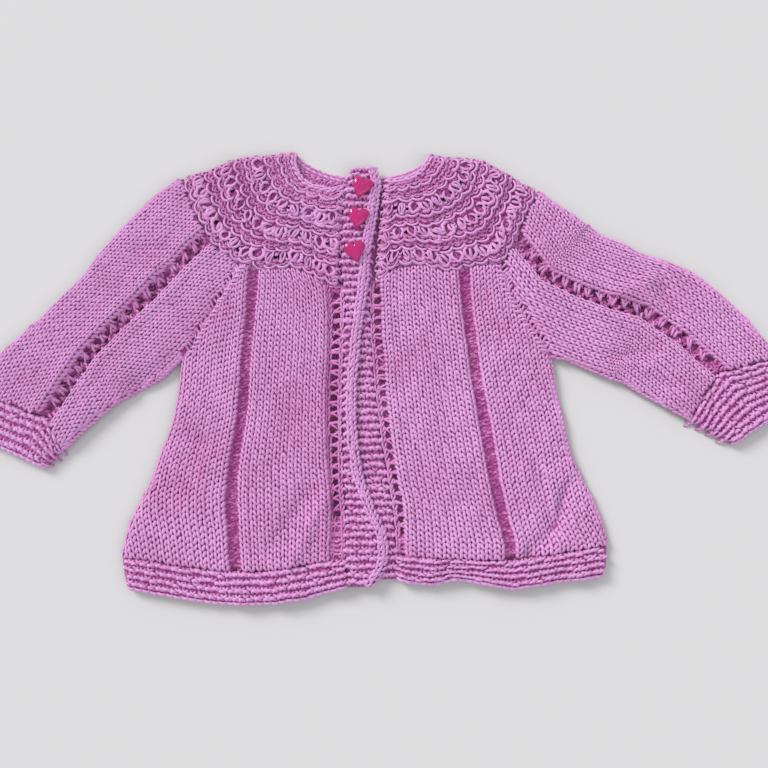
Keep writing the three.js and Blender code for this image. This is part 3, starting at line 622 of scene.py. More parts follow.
# Paths of slanting strands in millimetres: across, along and up.
LACE_SLANT = ((-2.6, -1.9, -0.9), (-1.4, -0.8, 0.1), (0.2, 0.2, 0.4), (1.6, 0.9, 0.1), (2.6, 1.8, -0.9))
EYELET_SLANT = ((-3.4, -1.5, -0.9), (-1.8, -0.5, 0.2), (0.0, 0.1, 0.5), (1.8, 0.5, 0.2), (3.4, 1.3, -0.9))
SLEEVE_BAR = ((-2.9, -1.1, -0.9), (-1.6, -0.5, 0.4), (0.0, 0.0, 0.8), (1.6, 0.4, 0.4), (2.9, 1.0, -0.9))
SEAM_SLANT = ((-2.2, -1.4, -0.9), (-1.0, -0.5, 0.4), (0.2, 0.2, 0.8), (1.4, 0.8, 0.2), (2.2, 1.5, -0.9))


# Stitch patterns in millimetres, each laid out for one stitch and one row.
def knit_legs(thickness=1.65):
    """The two legs of a knit stitch: the left one stands steeper than the right."""
    left = ((-0.45, -2.0, -0.9), (-0.8, -1.0, 0.15), (-1.08, 0.2, 0.5), (-1.2, 1.3, 0.3), (-1.05, 2.3, -0.9))
    right = ((0.0, -2.1, -0.9), (0.45, -1.2, 0.2), (0.98, -0.1, 0.6), (1.42, 0.9, 0.35), (1.55, 1.8, -0.8))
    return [Strand(left, thickness), Strand(right, thickness)]


def arc_path(half, sag, rise, sink=1.0, steps=6):
    """A sagging arc whose ends tuck down between its neighbours."""
    path = []
    for step in range(steps + 1):
        share = 2 * step / steps - 1
        bow = 1 - abs(share) ** 2.2
        path.append((share * half, sag * (0.55 - bow), (rise + sink) * bow ** 0.8 - sink))
    return path


def purl_bump(thickness):
    return Strand(arc_path(2.05, 2.4, 0.85, sink=1.2), thickness)


def puff_fingers():
    """Loops that fan out round a pit and close again, as a lace cluster shows: a middle and two sides."""
    middle = ((0, -2.4, -0.8), (0.2, -1.3, 0.7), (-0.1, 0.1, 1.1), (-0.3, 1.4, 0.6), (0.1, 2.4, -0.8))
    left = ((-0.2, -2.5, -0.8), (-1.7, -1.5, 0.5), (-2.5, 0.2, 0.9), (-1.9, 1.7, 0.6), (-0.5, 2.6, -0.3))
    right = tuple((-u, v, h) for u, v, h in left)
    return [Strand(path, 1.5) for path in (middle, left, right)]


# Shader maths: a value is a node's output, and a shader adds the nodes of one material.
class Value:
    """A node's output; the operators add Math nodes."""

    def __init__(self, shader, socket):
        self.shader = shader
        self.socket = socket

    def _maths(self, operation, first, second=0.0):
        node = self.shader.add("ShaderNodeMath", {"operation": operation}, {0: first, 1: second})
        return Value(self.shader, node.outputs[0])

    def __add__(self, other):
        return self._maths("ADD", self, other)

    def __mul__(self, other):
        return self._maths("MULTIPLY", self, other)

    def __sub__(self, other):
        return self._maths("SUBTRACT", self, other)

    def __rsub__(self, other):
        return self._maths("SUBTRACT", other, self)

    __radd__ = __add__
    __rmul__ = __mul__

    def sine(self):
        return self._maths("SINE", self)

    def fraction(self):
        return self._maths("FRACT", self)

    def size(self):
        return self._maths("ABSOLUTE", self)


class Shader:
    """A material's nodes, with one method that adds any of them."""

    def __init__(self, name):
        self.material = bpy.data.materials.new(name)
        self.material.use_nodes = True
        self.nodes = self.material.node_tree.nodes
        self.links = self.material.node_tree.links
        self.surface = self.nodes["Principled BSDF"]

    def add(self, kind, settings=None, inputs=None):
        node = self.nodes.new(kind)
        for name, value in (settings or {}).items():
            setattr(node, name, value)
        for name, value in (inputs or {}).items():
            self.feed(node.inputs[name], value)
        return node

    def feed(self, socket, value):
        if isinstance(value, Value):
            self.links.new(value.socket, socket)
        else:
            socket.default_value = value

    def set(self, **values):
        for name, value in values.items():
            self.feed(self.surface.inputs[name.replace("_", " ")], value)

    def output(self, kind, output, settings=None, inputs=None):
        return Value(self, self.add(kind, settings, inputs).outputs[output])

    def blend(self, factor, first, second, how="MIX"):
        settings = {"data_type": "RGBA", "blend_type": how}
        node = self.add("ShaderNodeMix", settings, {"Factor": factor})
        self.feed(node.inputs[6], first)
        self.feed(node.inputs[7], second)
        return Value(self, node.outputs[2])


def sizes():
    return bpy.context.scene.cardigan_sizes


def colour(values):
    return (*values, 1.0)


def make_yarn():
    shader = Shader("plied_yarn")
    uv = shader.add("ShaderNodeUVMap", {"uv_map": "strand"})
    parts = shader.add("ShaderNodeSeparateXYZ", None, {0: Value(shader, uv.outputs[0])})
    around = Value(shader, parts.outputs[0])
    run = Value(shader, parts.outputs[1])
    plies = (around * (2 * math.tau) + run * 9.0).sine() * 0.5 + 0.5
    tone = shader.output("ShaderNodeAttribute", "Fac", {"attribute_name": "tone"})
    depth = shader.output("ShaderNodeAttribute", "Fac", {"attribute_name": "depth"})
    place = shader.output("ShaderNodeTexCoord", "Object")
    fuzz = shader.output("ShaderNodeTexNoise", "Fac", None, {"Vector": place, "Scale": 2600.0, "Detail": 2.0})
    # Broad noise that paints soft light and shade in random patches, as gentle folds would show.
    cloud = shader.output("ShaderNodeTexNoise", "Fac", None, {"Vector": place, "Scale": 26.0, "Detail": 3.0})
    settings = sizes()
    # Painted light and shade: strands are painted lighter by tone where raised and darker where sunken, and
    # darker by depth where they dip; the cloud adds its painted patches. Tone's random scatter, the plies'
    # stripes and the fuzz are the yarn's own.
    shade = tone * 0.7 + depth * 0.35 + cloud * 0.85 + plies * 0.06 + fuzz * 0.12 - 0.56
    base = shader.blend(shade * 2.0, colour(settings.yarn_painted_shade), colour(settings.yarn_middle))
    base = shader.blend(shade * 2.0 - 1.0, base, colour(settings.yarn_painted_highlight))
    height = plies * 0.6 + fuzz * 0.5
    bump_node = shader.add("ShaderNodeBump", None, {"Strength": 0.5, "Distance": 0.0002, "Height": height})
    shader.set(Base_Color=base, Normal=Value(shader, bump_node.outputs[0]), Roughness=0.85)
    shader.set(Sheen_Weight=0.35, Sheen_Roughness=0.45, Specular_IOR_Level=0.25)
    shader.surface.inputs["Sheen Tint"].default_value = colour((1.0, 0.82, 0.95))
    return shader.material


def make_cloth(name, low, high):
    """Flat knitting with drawn rows of V stitches, painted darker in their grooves as shade: the ground
    between stitches and the outside.
    """
    shader = Shader(name)
    uv = shader.add("ShaderNodeUVMap", {"uv_map": "rows"})
    parts = shader.add("ShaderNodeSeparateXYZ", None, {0: Value(shader, uv.outputs[0])})
    from_middle = (Value(shader, parts.outputs[0]).fraction() - 0.5).size()
    leg = (Value(shader, parts.outputs[1]) - from_middle * 1.3).fraction() - 0.5
    relief = 1.0 - leg.size() * 1.5 - (from_middle - 0.25).size() * 1.3
    # Painted shade: the colour darkens into the drawn grooves, following the same relief that bumps them.
    base = shader.blend(relief * 1.3, colour(low), colour(high))
    bump_node = shader.add("ShaderNodeBump", None, {"Strength": 0.9, "Distance": 0.0009, "Height": relief})
    shader.set(Base_Color=base, Normal=Value(shader, bump_node.outputs[0]), Roughness=0.95)
    shader.set(Sheen_Weight=0.2, Specular_IOR_Level=0.15)
    return shader.material


def make_button_gloss():
    shader = Shader("button_gloss")
    place = shader.output("ShaderNodeTexCoord", "Object")
    swirl = shader.output("ShaderNodeTexNoise", "Fac", None, {"Vector": place, "Scale": 120.0, "Detail": 1.0})
    settings = sizes()
    base = shader.blend(swirl, colour(settings.button_deep), colour(settings.button_light))
    shader.set(Base_Color=base, Roughness=0.12, Coat_Weight=0.6, Coat_Roughness=0.05, IOR=1.5)
    return shader.material


def make_floor():
    shader = Shader("pale_floor")
    shader.set(Base_Color=colour(sizes().floor), Roughness=0.7, Specular_IOR_Level=0.2)
    return shader.material


# The ground cloth of each piece.
def ground_sheet(node, place, shape, sink, thickness=GROUND_THICKNESS, holes=None, hole=EYELET_HOLE):
    """A thin closed shell over shares across and down. Returns the piece and its laid surface's area."""
    across, down = shape
    bm = bmesh.new()
    bmesh.ops.create_grid(bm, x_segments=across, y_segments=down, size=0.5)
    rows = bm.loops.layers.uv.new("rows")
    shares = np.array([(vertex.co.x + 0.5, 0.5 - vertex.co.y) for vertex in bm.verts])
    plan = place(shares[:, 0], shares[:, 1])
    tops = heights_of(node)(plan) - sink
    for vertex, xy, top in zip(bm.verts, plan - CENTRE, tops):
        vertex.co = Vector((xy[0] * MM, xy[1] * MM, max(top, thickness + 0.05) * MM))
    area = sum(face.calc_area() for face in bm.faces)
    settings = sizes()
    for face in bm.faces:
        for loop in face.loops:
            where = loop.vert.co
            loop[rows].uv = (where.x / settings.stitch_width, where.y / settings.row_height)
    if holes is not None:
        middles = np.array([face.calc_center_median()[:2] for face in bm.faces]) / MM + CENTRE
        reach = (middles[:, None, :] - holes[None, :, :]) / (np.array(hole) * 0.5)
        inside = (np.sum(reach ** 2, axis=2) < 1.0).any(axis=1)
        doomed = [face for face, hollow in zip(list(bm.faces), inside) if hollow]
        bmesh.ops.delete(bm, geom=doomed, context="FACES")
    if sum(face.normal.z for face in bm.faces) < 0:
        bmesh.ops.reverse_faces(bm, faces=bm.faces)
    bmesh.ops.solidify(bm, geom=bm.faces, thickness=thickness * MM)
    # The fronts' ground is painted in the darker shade seen between stitches; back pieces take the yarn's
    # shaded and middle colours.
    material = "knitted_outside" if "back" in node else "knitted_ground"
    piece = add_piece(mesh_of(bm, f"{node}_ground"), material, "yarn")
    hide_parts(node)
    return piece, area


def run_length(place, start, end, steps=40):
    """Length in metres of the line between two pairs of shares."""
    share = np.linspace(0, 1, steps)
    points = place(mix(start[0], end[0], share), mix(start[1], end[1], share))
    return float(np.linalg.norm(np.diff(points, axis=0), axis=1).sum()) * MM


def declare(piece, place, area, stitches):
    """Works out a laid sheet's flat size: its greatest width, its length and its area, and keeps none of
    them.
    """
    width = max(run_length(place, (0, t), (1, t)) for t in (0.0, 0.25, 0.5, 0.75, 1.0))
    length = max(run_length(place, (s, 0), (s, 1)) for s in (0.02, 0.25, 0.5, 0.75, 0.98))
    flat_area = min(area, width * length)


# Plans of the pieces: shares across and down to points of the tables' plane.
def settle(x_at, top_at, bottom_at, t):
    """Finds the point on a wale whose share of the way from top to bottom is t."""
    y = np.full(np.broadcast(t, x_at(100.0)).shape, 100.0)
    for _ in range(8):
        x = x_at(y)
        y = mix(top_at(x), bottom_at(x), t)
    return np.stack([x_at(y), y], axis=-1)


def panel_plan(side, top_at, bottom_at):
    """The plan of a front or its hem, from the side to the band, a little inside the solid."""
    inset = side.outward * SEAM_INSET

    def place(s, t):
        def x_at(y):
            return mix(side.edge("side", y) - inset, side.edge("band_edge", y) + inset, s)

        return settle(x_at, top_at, bottom_at, t)

    return place


def front_plan(side):
    return panel_plan(side, side.rim, lambda x: side.hem_edge("upper", x) + SEAM_INSET)


def hem_plan(side):
    def upper(x):
        return side.hem_edge("upper", x) - SEAM_INSET

    return panel_plan(side, upper, lambda x: side.hem_edge("lower", x))


def band_plan(table):
    y_column = column(table, 0)
    joined = column(table, 1)
    free = column(table, 2)

    def place(s, t):
        y = mix(y_column[0], y_column[-1], t)
        return np.stack([mix(read(y_column, joined, y), read(y_column, free, y), s), y], axis=-1)

    return place


def yoke_plan(side):
    lines = [side.yoke[:, part] for part in (0, 1, 2)]

    def place(s, t):
        around = mix(0.02, 0.995, np.asarray(s, float))
        out = (np.asarray(t, float) * 0.994)[..., None]
        neck, mid, rim = [along(line, around) for line in lines]
        return np.where(out < 0.5, mix(neck, mid, out * 2), mix(mid, rim, out * 2 - 1))

    return place


def back_yoke_plan():
    rim = np.concatenate([RIGHT.yoke[::-1, 2], [[-4, 189]], LEFT.yoke[:, 2]])
    fold_right, fold_left = RIGHT.yoke[-1, 0], LEFT.yoke[-1, 0]

    def place(s, t):
        s = np.asarray(s, float)
        neck = fold_right * (1 - s[..., None]) + fold_left * s[..., None]
        neck = neck - np.stack([0 * s, 15 * np.sin(np.pi * np.clip(s, 0, 1)) ** 0.6], axis=-1)
        return mix(neck, along(rim, mix(0.006, 0.994, s)), np.asarray(t, float)[..., None] * 0.992)

    return place


def back_rim(x):
    points = np.concatenate([RIGHT.yoke[4::-1, 2], [[-4, 189]], LEFT.yoke[:6, 2]])
    return np.interp(x, points[:, 0], points[:, 1]) - 0.75


def back_plan(top_at, bottom_at):
    def place(s, t):
        def x_at(y):
            return mix(RIGHT.edge("side", y) + 2.1, LEFT.edge("side", y) - 2.1, s)

        return settle(x_at, top_at, bottom_at, t)

    return place


def both_hems(name, extra):
    def at(x):
        return np.where(x < 0, RIGHT.hem_edge(name, x), LEFT.hem_edge(name, x)) + extra

    return at


def sleeve_rows(side, s):
    """Points of every row of the sleeve's table at shares across, the seam itself first."""
    s = np.asarray(s, float)
    rows = []
    for number, row in enumerate(side.sleeve):
        points = np.stack([np.interp(s, SLEEVE_STOPS, row[:, axis]) for axis in (0, 1)], axis=-1)
        if number == 0:
            rim = side.yoke[side.corner:, 2][::-1]
            on_yoke = along(rim, s / SLEEVE_STOPS[2])
            y = mix(rim[-1, 1], row[3, 1], np.clip((s - SLEEVE_STOPS[2]) / (1 - SLEEVE_STOPS[2]), 0, 1))
            raglan = np.stack([side.edge("side", y), y], axis=-1)
            points = np.where((s <= SLEEVE_STOPS[2])[..., None], on_yoke, raglan)
        rows.append(points)
    return np.stack(rows)


def sleeve_plan(side):
    def place(s, t):
        s, t = np.broadcast_arrays(np.asarray(s, float), np.asarray(t, float))
        rows = sleeve_rows(side, s)
        way = np.clip(mix(0.006, 0.998, t), 0, 1) * (len(rows) - 1)
        first = np.minimum(way.astype(int), len(rows) - 2)
        rest = (way - first)[..., None]
        near = np.take_along_axis(rows, first[None, ..., None], axis=0)[0]
        far = np.take_along_axis(rows, first[None, ..., None] + 1, axis=0)[0]
        return near * (1 - rest) + far * rest

    return place


def cuff_plan(side):
    def place(s, t):
        s = np.asarray(s, float)
        row = side.sleeve[-1]
        start = np.stack([np.interp(s, SLEEVE_STOPS, row[:, axis]) for axis in (0, 1)], axis=-1)
        full = np.linalg.norm(row[0] - row[3])
        share = np.clip(np.linalg.norm(start - row[0], axis=-1) / full, 0, 1)[..., None]
        end = mix(side.cuff_end[0], side.cuff_end[1], share)
        return mix(start, end, np.asarray(t, float)[..., None])

    return place


# Laying whole fields of stitches.
def steps_of(points, axis=0):
    """Plan vector from each point of a field to the next along an axis."""
    return np.gradient(points, axis=axis)


def lay_field(knitting, strands, field, keep, across, up, heights, **options):
    """Lays the strands at each kept point of a field, sized by the field's own spacing."""
    places = field[keep]
    for strand in strands:
        knitting.lay(strand, places, across[keep], up[keep], heights, **options)


def purl_field(knitting, field, keep, heights):
    """Garter ridges: fat arching bumps in brick order, painted light as highlight, and sagging ones between
    them, painted darker as shade.
    """
    bump = Strand(arc_path(1.6, 1.7, 0.95, sink=1.5), 1.95)
    behind = Strand(arc_path(1.6, 1.9, 0.85, sink=1.2), 1.7)
    across = steps_of(field, 0)
    down = steps_of(field, 1)
    brick = 0.25 * alternate(field.shape[1])[None, :, None]
    field = field + across * brick
    between = field + across * 0.5 - down * 0.4
    wide = across / GARTER_BUMP * 1.12
    tall = down / (GARTER_PITCH * 0.95)
    loose = {"jitter": 0.32, "scatter": 0.22}
    lay_field(knitting, [bump], field, keep, wide, tall, heights, lift=0.3, tone=1.25, **loose)
    lay_field(knitting, [behind], between, keep, wide, -tall, heights, lift=-0.1, tone=0.75, **loose)


def wale_field(x_lines, top_at, bottom_at, rows):
    """Points on each wale at evenly spaced rows, given every wale's X over height."""
    shares = (np.arange(rows) + 0.5) / rows
    return np.stack([settle(line, top_at, bottom_at, shares) for line in x_lines])


# Wales of a front's two panels, its rows, the outer panel's top, and the rows of its side beside the sleeve.
MIDDLE_WALES = 12
OUTER_WALES = 19
FRONT_ROWS = 56
OUTER_TOP = 209
ARM_ROWS = 18

# Plan directions.
UPWARDS = (0.0, 1.0)
SIDEWAYS = (1.0, 0.0)


def front_eyelets(side):
    high, low = side.eyelets
    y = np.arange(high, low, -EYELET_PITCH)
    edge = side.edge("band_edge", y)
    room = np.abs(side.edge("eyelet_outer", y) - edge)
    return np.stack([edge + side.outward * np.minimum(4.3, room * 0.6 + 1.4), y], axis=-1)


def make_front(side, seed):
    node = f"front_{side.word}_panel"
    heights = heights_of(node)
    place = front_plan(side)
    holes = front_eyelets(side)
    sheet, area = ground_sheet(node, place, (64, 84), KNIT_SINK, holes=holes)
    knitting = Knitting(f"{node}_stitches", seed)
    legs = knit_legs()

    def hem(x):
        return side.hem_edge("upper", x)

    def middle(k):
        share = (k + 0.5) / MIDDLE_WALES
        return lambda y: mix(side.edge("lace_inner", y), side.edge("eyelet_outer", y), share)

    def outer(k):
        def x_at(y):
            pitch = np.abs(side.edge("lace_inner", y) - side.edge("eyelet_outer", y)) / MIDDLE_WALES
            return side.edge("lace_outer", y) + side.outward * (k + 0.5) * pitch

        return x_at

    for line, wales in ((middle, MIDDLE_WALES), (outer, OUTER_WALES)):
        field = wale_field([line(k) for k in range(wales)], side.rim, hem, FRONT_ROWS)
        across = steps_of(field, 0) * side.outward
        up = -steps_of(field, 1)
        reach = side.outward * (side.edge("side", field[..., 1]) - field[..., 0])
        keep = (line is middle) | (reach > 0.4) & (field[..., 1] < OUTER_TOP)
        lay_field(knitting, legs, field, keep, across / STITCH, up / ROW, heights, tone=0.88)
    make_lace_column(knitting, side, heights)
    make_edge_wale(knitting, paced(place, 0.006, ROW)[ARM_ROWS:], heights, legs)
    make_eyelet_column(knitting, side, heights, holes, legs)
    declare(sheet, place, area, [knitting.finish()])


def make_lace_column(knitting, side, heights):
    """The recessed lace between the panels: a zigzag of twisted strands over a deep ground, all painted dark
    as shade in the recess.
    """
    slant = Strand(LACE_SLANT, 1.45)
    y = np.arange(199, side.hem_edge("upper", side.edge("lace_inner", 30.0)) - 0.5, -3.4)
    inner, outer = side.edge("lace_inner", y), side.edge("lace_outer", y)
    turn = alternate(len(y))
    places = np.stack([(inner + outer) / 2, y], axis=-1)
    across = np.stack([np.abs(outer - inner) / 5.6 * turn, 0 * y], axis=-1)
    up = all_alike(UPWARDS, len(y))
    knitting.lay(slant, places, across, up, heights, lift=-0.9, tone=-0.22, jitter=0.5, scatter=0.2)
    knot = Strand(arc_path(1.5, 1.3, 0.7), 1.5)
    across = all_alike(SIDEWAYS, len(y))
    up = up * turn[:, None]
    for share in (0.12, 0.5, 0.88):
        places = np.stack([mix(inner, outer, share), y - 1.7], axis=-1)
        knitting.lay(knot, places, across, up, heights, lift=-0.8, tone=-0.02, jitter=0.6, scatter=0.22)


def make_eyelet_column(knitting, side, heights, holes, legs):
    """Yarn round each eyelet beside the band: crossed strands between the holes and a wale at each side,
    painted darker than the panels as shade in the sunken column.
    """
    slant = Strand(EYELET_SLANT, 1.55)
    between = (holes[1:] + holes[:-1]) / 2
    up = all_alike(UPWARDS, len(between))
    for shift, turn, tone in ((0.65, 1.0, 0.6), (-0.65, -1.0, 0.35)):
        angles = knitting.random.normal(0, 0.25, len(between))
        across = turned(all_alike(SIDEWAYS, len(between)) * turn, angles)
        spot = between + np.array([0, shift])
        knitting.lay(slant, spot, across, up, heights, lift=-0.2, tone=tone, jitter=0.45)
    y = np.arange(200, 26, -ROW)
    edge = side.edge("band_edge", y)
    room = np.abs(side.edge("eyelet_outer", y) - edge)
    # The second wale, beside a wide column, is painted darker still, as knitting in shade.
    wales = ((1.0, room > 0, -0.3, 0.65), (room - 1.3, room > WIDE_COLUMN, -0.6, 0.45))
    for inset, kept, lift, tone in wales:
        places = np.stack([edge + side.outward * inset, y], axis=-1)[kept]
        across = all_alike(SIDEWAYS, len(places)) * 0.75
        up = all_alike(UPWARDS, len(places))
        for strand in legs:
            knitting.lay(strand, places, across, up, heights, lift=lift, tone=tone, jitter=0.25)
    # Knots above and below the eyelets are painted darker as shade too.
    knot = Strand(arc_path(1.8, 1.3, 0.6), 1.5)
    low, high = holes[:, 1].min() - 5, holes[:, 1].max() + 5
    for y in (np.arange(low, 27, -2.6), np.arange(196, high, -2.6)):
        across = all_alike(SIDEWAYS, len(y))
        up = all_alike(UPWARDS, len(y)) * alternate(len(y))[:, None]
        for shift in (2.2, 4.8, 7.4):
            places = np.stack([side.edge("band_edge", y) + side.outward * shift, y], axis=-1)
            knitting.lay(knot, places, across, up, heights, lift=-0.4, tone=0.5, jitter=0.4)


def cast_on(knitting, place, s, up, heights):
    """The pale cast-on edge along the end of a hem or cuff."""
    edge = place(s, np.full(len(s), 0.965))
    arch = Strand(arc_path(2.2, 0.9, 0.6), 2.1)
    knitting.lay(arch, edge, steps_of(edge) / STITCH, up, heights, lift=-0.5, tone=1.15)


def make_hem(side, seed):
    node = f"front_{side.word}_hem"
    heights = heights_of(node)
    place = hem_plan(side)
    sheet, area = ground_sheet(node, place, (64, 14), GARTER_SINK)
    knitting = Knitting(f"{node}_stitches", seed)
    columns = int(round(run_length(place, (0, 0.5), (1, 0.5)) / (GARTER_BUMP * MM)))
    s = (np.arange(columns) + 0.5) / columns
    t = (np.arange(4) + 0.55) / 4.25
    field = place(*np.meshgrid(s, t, indexing="ij"))
    keep = np.ones(field.shape[:2], bool)
    purl_field(knitting, field, keep, heights)
    cast_on(knitting, place, s, all_alike(UPWARDS, columns), heights)
    declare(sheet, place, area, [knitting.finish()])


def make_band(node, table, seed, rolled):
    heights = heights_of(node)
    place = band_plan(table)
    sheet, area = ground_sheet(node, place, (10, 90), GARTER_SINK)
    knitting = Knitting(f"{node}_stitches", seed)
    rows = int((table[0][0] - table[-1][0]) / GARTER_PITCH)
    y = table[0][0] - (np.arange(rows) + 0.5) * (table[0][0] - table[-1][0]) / rows
    y_column = column(table, 0)
    joined = read(y_column, column(table, 1), y)
    free = read(y_column, column(table, 2), y)
    way = np.sign(table[0][2] - table[0][1])
    x = joined[None, :] + way * (np.arange(8)[:, None] + 0.3) * GARTER_BUMP
    field = np.stack([x, np.broadcast_to(y, x.shape)], axis=-1)
    keep = way * (free[None, :] - x) > (5.0 if rolled else 1.2)
    purl_field(knitting, field, keep, heights)
    if rolled:
        make_rolled_edge(knitting, table, heights)
    declare(sheet, place, area, [knitting.finish()])


def make_rolled_edge(knitting, table, heights):
    """The free edge curls up into a soft roll, painted light as a highlight: two wales of knit stitches run
    along it.
    """
    y_column = column(table, 0)
    y = np.arange(table[0][0] - 1.4, table[-1][0] + 1, -2.9)
    free = read(y_column, column(table, 2), y)
    for inset, lift, tone in ((1.5, 0.1, 1.5), (4.2, 0.4, 1.5)):
        line = np.stack([free - inset, y], axis=-1)
        up = unit(-steps_of(line)) * 0.95
        for strand in knit_legs(1.75):
            across = -square_to(up)
            knitting.lay(strand, line, across, up, heights, lift=lift, tone=tone, jitter=0.22, scatter=0.14)
    x = np.arange(-8.0, 3.5, 2.6)
    top = np.stack([x, np.full(len(x), table[0][0] - 1.4)], axis=-1)
    across = all_alike(SIDEWAYS, len(x))
    up = all_alike(UPWARDS, len(x))
    knitting.lay(Strand(arc_path(1.9, 1.0, 0.8), 1.8), top, across, up, heights, tone=1.2)


# Rows of the yoke: what is knitted there, and its share of the way out from the neck.
YOKE_ROWS = (
    ("edge", 0.02),
    ("small", 0.055),
    ("small", 0.095),
    ("line", 0.135),
    ("small", 0.175),
    ("small", 0.215),
    ("line", 0.27),
    ("lace", 0.36),
    ("line", 0.45),
    ("small", 0.495),
    ("line", 0.545),
    ("lace", 0.632),
    ("line", 0.72),
    ("small", 0.765),
    ("line", 0.812),
    ("lace", 0.89),
    ("line", 0.985),
)
LACE_PITCH = 7.9
# Knots between two lace clusters: shift outwards, lift and tone. The sunken outer knots get lower tones as
# painted shade.
YOKE_KNOTS = ((-3.6, -0.6, 0.5), (-1.5, -0.1, 0.95), (1.6, -0.1, 0.85), (3.8, -0.6, 0.5))


def ring(place, share, pitch, shift=0.0):
    """Points round the yoke at a share out from the neck, with unit plan vectors along it and outwards."""
    fine = np.linspace(0.012, 0.988, 200)
    line = place(fine, np.full(200, share))
    lengths = run_along(line)
    count = max(int(round(lengths[-1] / pitch)), 2)
    stops = (np.arange(count) + 0.5 + shift) / count * lengths[-1]
    s = np.interp(np.clip(stops, 0, lengths[-1]), lengths, fine)
    points = place(s, np.full(count, share))
    across = place(s + 0.008, np.full(count, share)) - place(s - 0.008, np.full(count, share))
    across *= (lengths[-1] / count / pitch / np.linalg.norm(across, axis=1))[:, None]
    out = place(s, np.full(count, min(share + 0.03, 1.0))) - place(s, np.full(count, share - 0.03))
    return points, across, unit(out)


def make_yoke(side, seed):
    node = f"yoke_front_{side.word}"
    heights = heights_of(node)
    place = yoke_plan(side)
    pits = []
    for kind, share in YOKE_ROWS:
        if kind == "lace":
            points, across, _ = ring(place, share, LACE_PITCH)
            pits.append(points[:-1] + across[:-1] * (LACE_PITCH / 2))
    sheet, area = ground_sheet(node, place, (96, 52), YOKE_SINK, holes=np.concatenate(pits), hole=YOKE_HOLE)
    knitting = Knitting(f"{node}_stitches", seed)
    smile = Strand(arc_path(4.6, 3.0, 1.2, sink=1.3, steps=8), 1.45)
    small = purl_bump(1.3)
    fingers = puff_fingers()
    chain = knit_legs(1.7)
    # Tones paint light and shade: raised smile lines, chains and puffs are painted lighter as highlight,
    # sunken small bumps darker as shade.
    for number, (kind, share) in enumerate(YOKE_ROWS):
        pitch = LACE_PITCH if kind in ("line", "lace") else STITCH
        points, across, out = ring(place, share, pitch, 0.25 if kind == "small" and number % 2 else 0.0)
        angles = knitting.random.normal(0, 0.13, len(points))
        across, out = turned(across, angles), turned(out, angles)
        if kind == "line":
            knitting.lay(smile, points, across, -out, heights, lift=0.35, tone=1.3, jitter=0.3)
            inner = points - out * 1.9
            knitting.lay(small, inner, across, -out, heights, lift=-0.5, tone=0.5)
            knitting.lay(small, inner + across * STITCH, across, out, heights, lift=-0.5, tone=0.45)
        elif kind == "lace":
            whole = knitting.random.uniform(0, 1, len(points)) < 0.6
            stretch = knitting.random.normal(1, 0.16, (len(points), 1))
            lean = knitting.random.normal(0, 0.3, len(points))
            wide, tall = turned(across * 1.2 * stretch, lean), turned(-out * 1.38, lean)
            knitting.lay(fingers[0], points[whole], wide[whole], tall[whole], heights, tone=0.9, jitter=0.5)
            loose = {"jitter": 0.45, "scatter": 0.15}
            for finger in fingers[1:]:
                knitting.lay(finger, points, wide, tall, heights, lift=0.1, tone=1.05, **loose)
            knitting.lay(small, points + out * 2.4, wide, tall, heights, lift=0.1, tone=0.85, jitter=0.7)
            between = points + across * STITCH
            for shift, lift, tone in YOKE_KNOTS:
                spot = between + out * shift
                knitting.lay(small, spot, across * 0.7, -out, heights, lift=lift, tone=tone, jitter=0.5)
        elif kind == "small":
            knitting.lay(small, points, across, -out, heights, lift=-0.55, tone=0.5, jitter=0.25)
            arch = points + across * 1.95 - out * 1.3
            knitting.lay(small, arch, across, out, heights, lift=-0.55, tone=0.42, jitter=0.25)
        else:
            for strand in chain:
                knitting.lay(strand, points, out, unit(across) * 1.3, heights, lift=0.2, tone=1.3)
    # Border bumps beside the band and at the shoulder are painted a little darker as shade.
    for s, tone in ((0.006, 0.9), (0.03, 0.75), (0.994, 0.75)):
        border = paced(place, s, 2.7)
        down = unit(steps_of(border))
        up = down * alternate(len(border))[:, None]
        knitting.lay(small, border, square_to(down), up, heights, lift=-0.2, tone=tone, jitter=0.4)
    # The sunken rim strands are painted darker as shade.
    points, across, out = ring(place, 0.998, STITCH)
    for shift, tone in ((0.0, 0.55), (1.4, 0.7), (-1.6, 0.7)):
        knitting.lay(small, points + out * shift, across, -out, heights, lift=-1.2, tone=tone, jitter=0.25)
    declare(sheet, place, area, [knitting.finish()])


def make_back(seed):
    """The back panel, its hem and the back of the yoke lie flat under the fronts."""
    panel = back_plan(back_rim, both_hems("upper", SEAM_INSET))
    sheet, area = ground_sheet("back_panel", panel, (90, 56), 0.0, BACK_THICKNESS)
    declare(sheet, panel, area, [])
    hem = back_plan(both_hems("upper", -SEAM_INSET), both_hems("lower", 1.5))
    sheet, area = ground_sheet("back_hem", hem, (90, 8), 0.0, 1.9)
    declare(sheet, hem, area, [])
    yoke = back_yoke_plan()
    heights = heights_of("yoke_back")
    sheet, area = ground_sheet("yoke_back", yoke, (80, 24), 0.3, 1.7)
    knitting = Knitting("yoke_back_stitches", seed)
    small = purl_bump(1.4)
    # Sunken purl bumps are painted darker as shade.
    for number, share in enumerate((0.03, 0.09, 0.15, 0.21, 0.27, 0.33)):
        points, across, out = ring(yoke, share, STITCH, 0.25 if number % 2 else 0.0)
        knitting.lay(small, points, across, out, heights, tone=0.65, lift=-0.2)
        knitting.lay(small, points + across * 1.95 + out * 1.3, across, -out, heights, tone=0.6, lift=-0.2)
    # The neck chain is painted lighter as highlight.
    points, across, out = ring(yoke, 0.012, STITCH)
    for strand in knit_legs(1.7):
        knitting.lay(strand, points, out, across * 1.3, heights, tone=1.2)
    declare(sheet, yoke, area, [knitting.finish()])


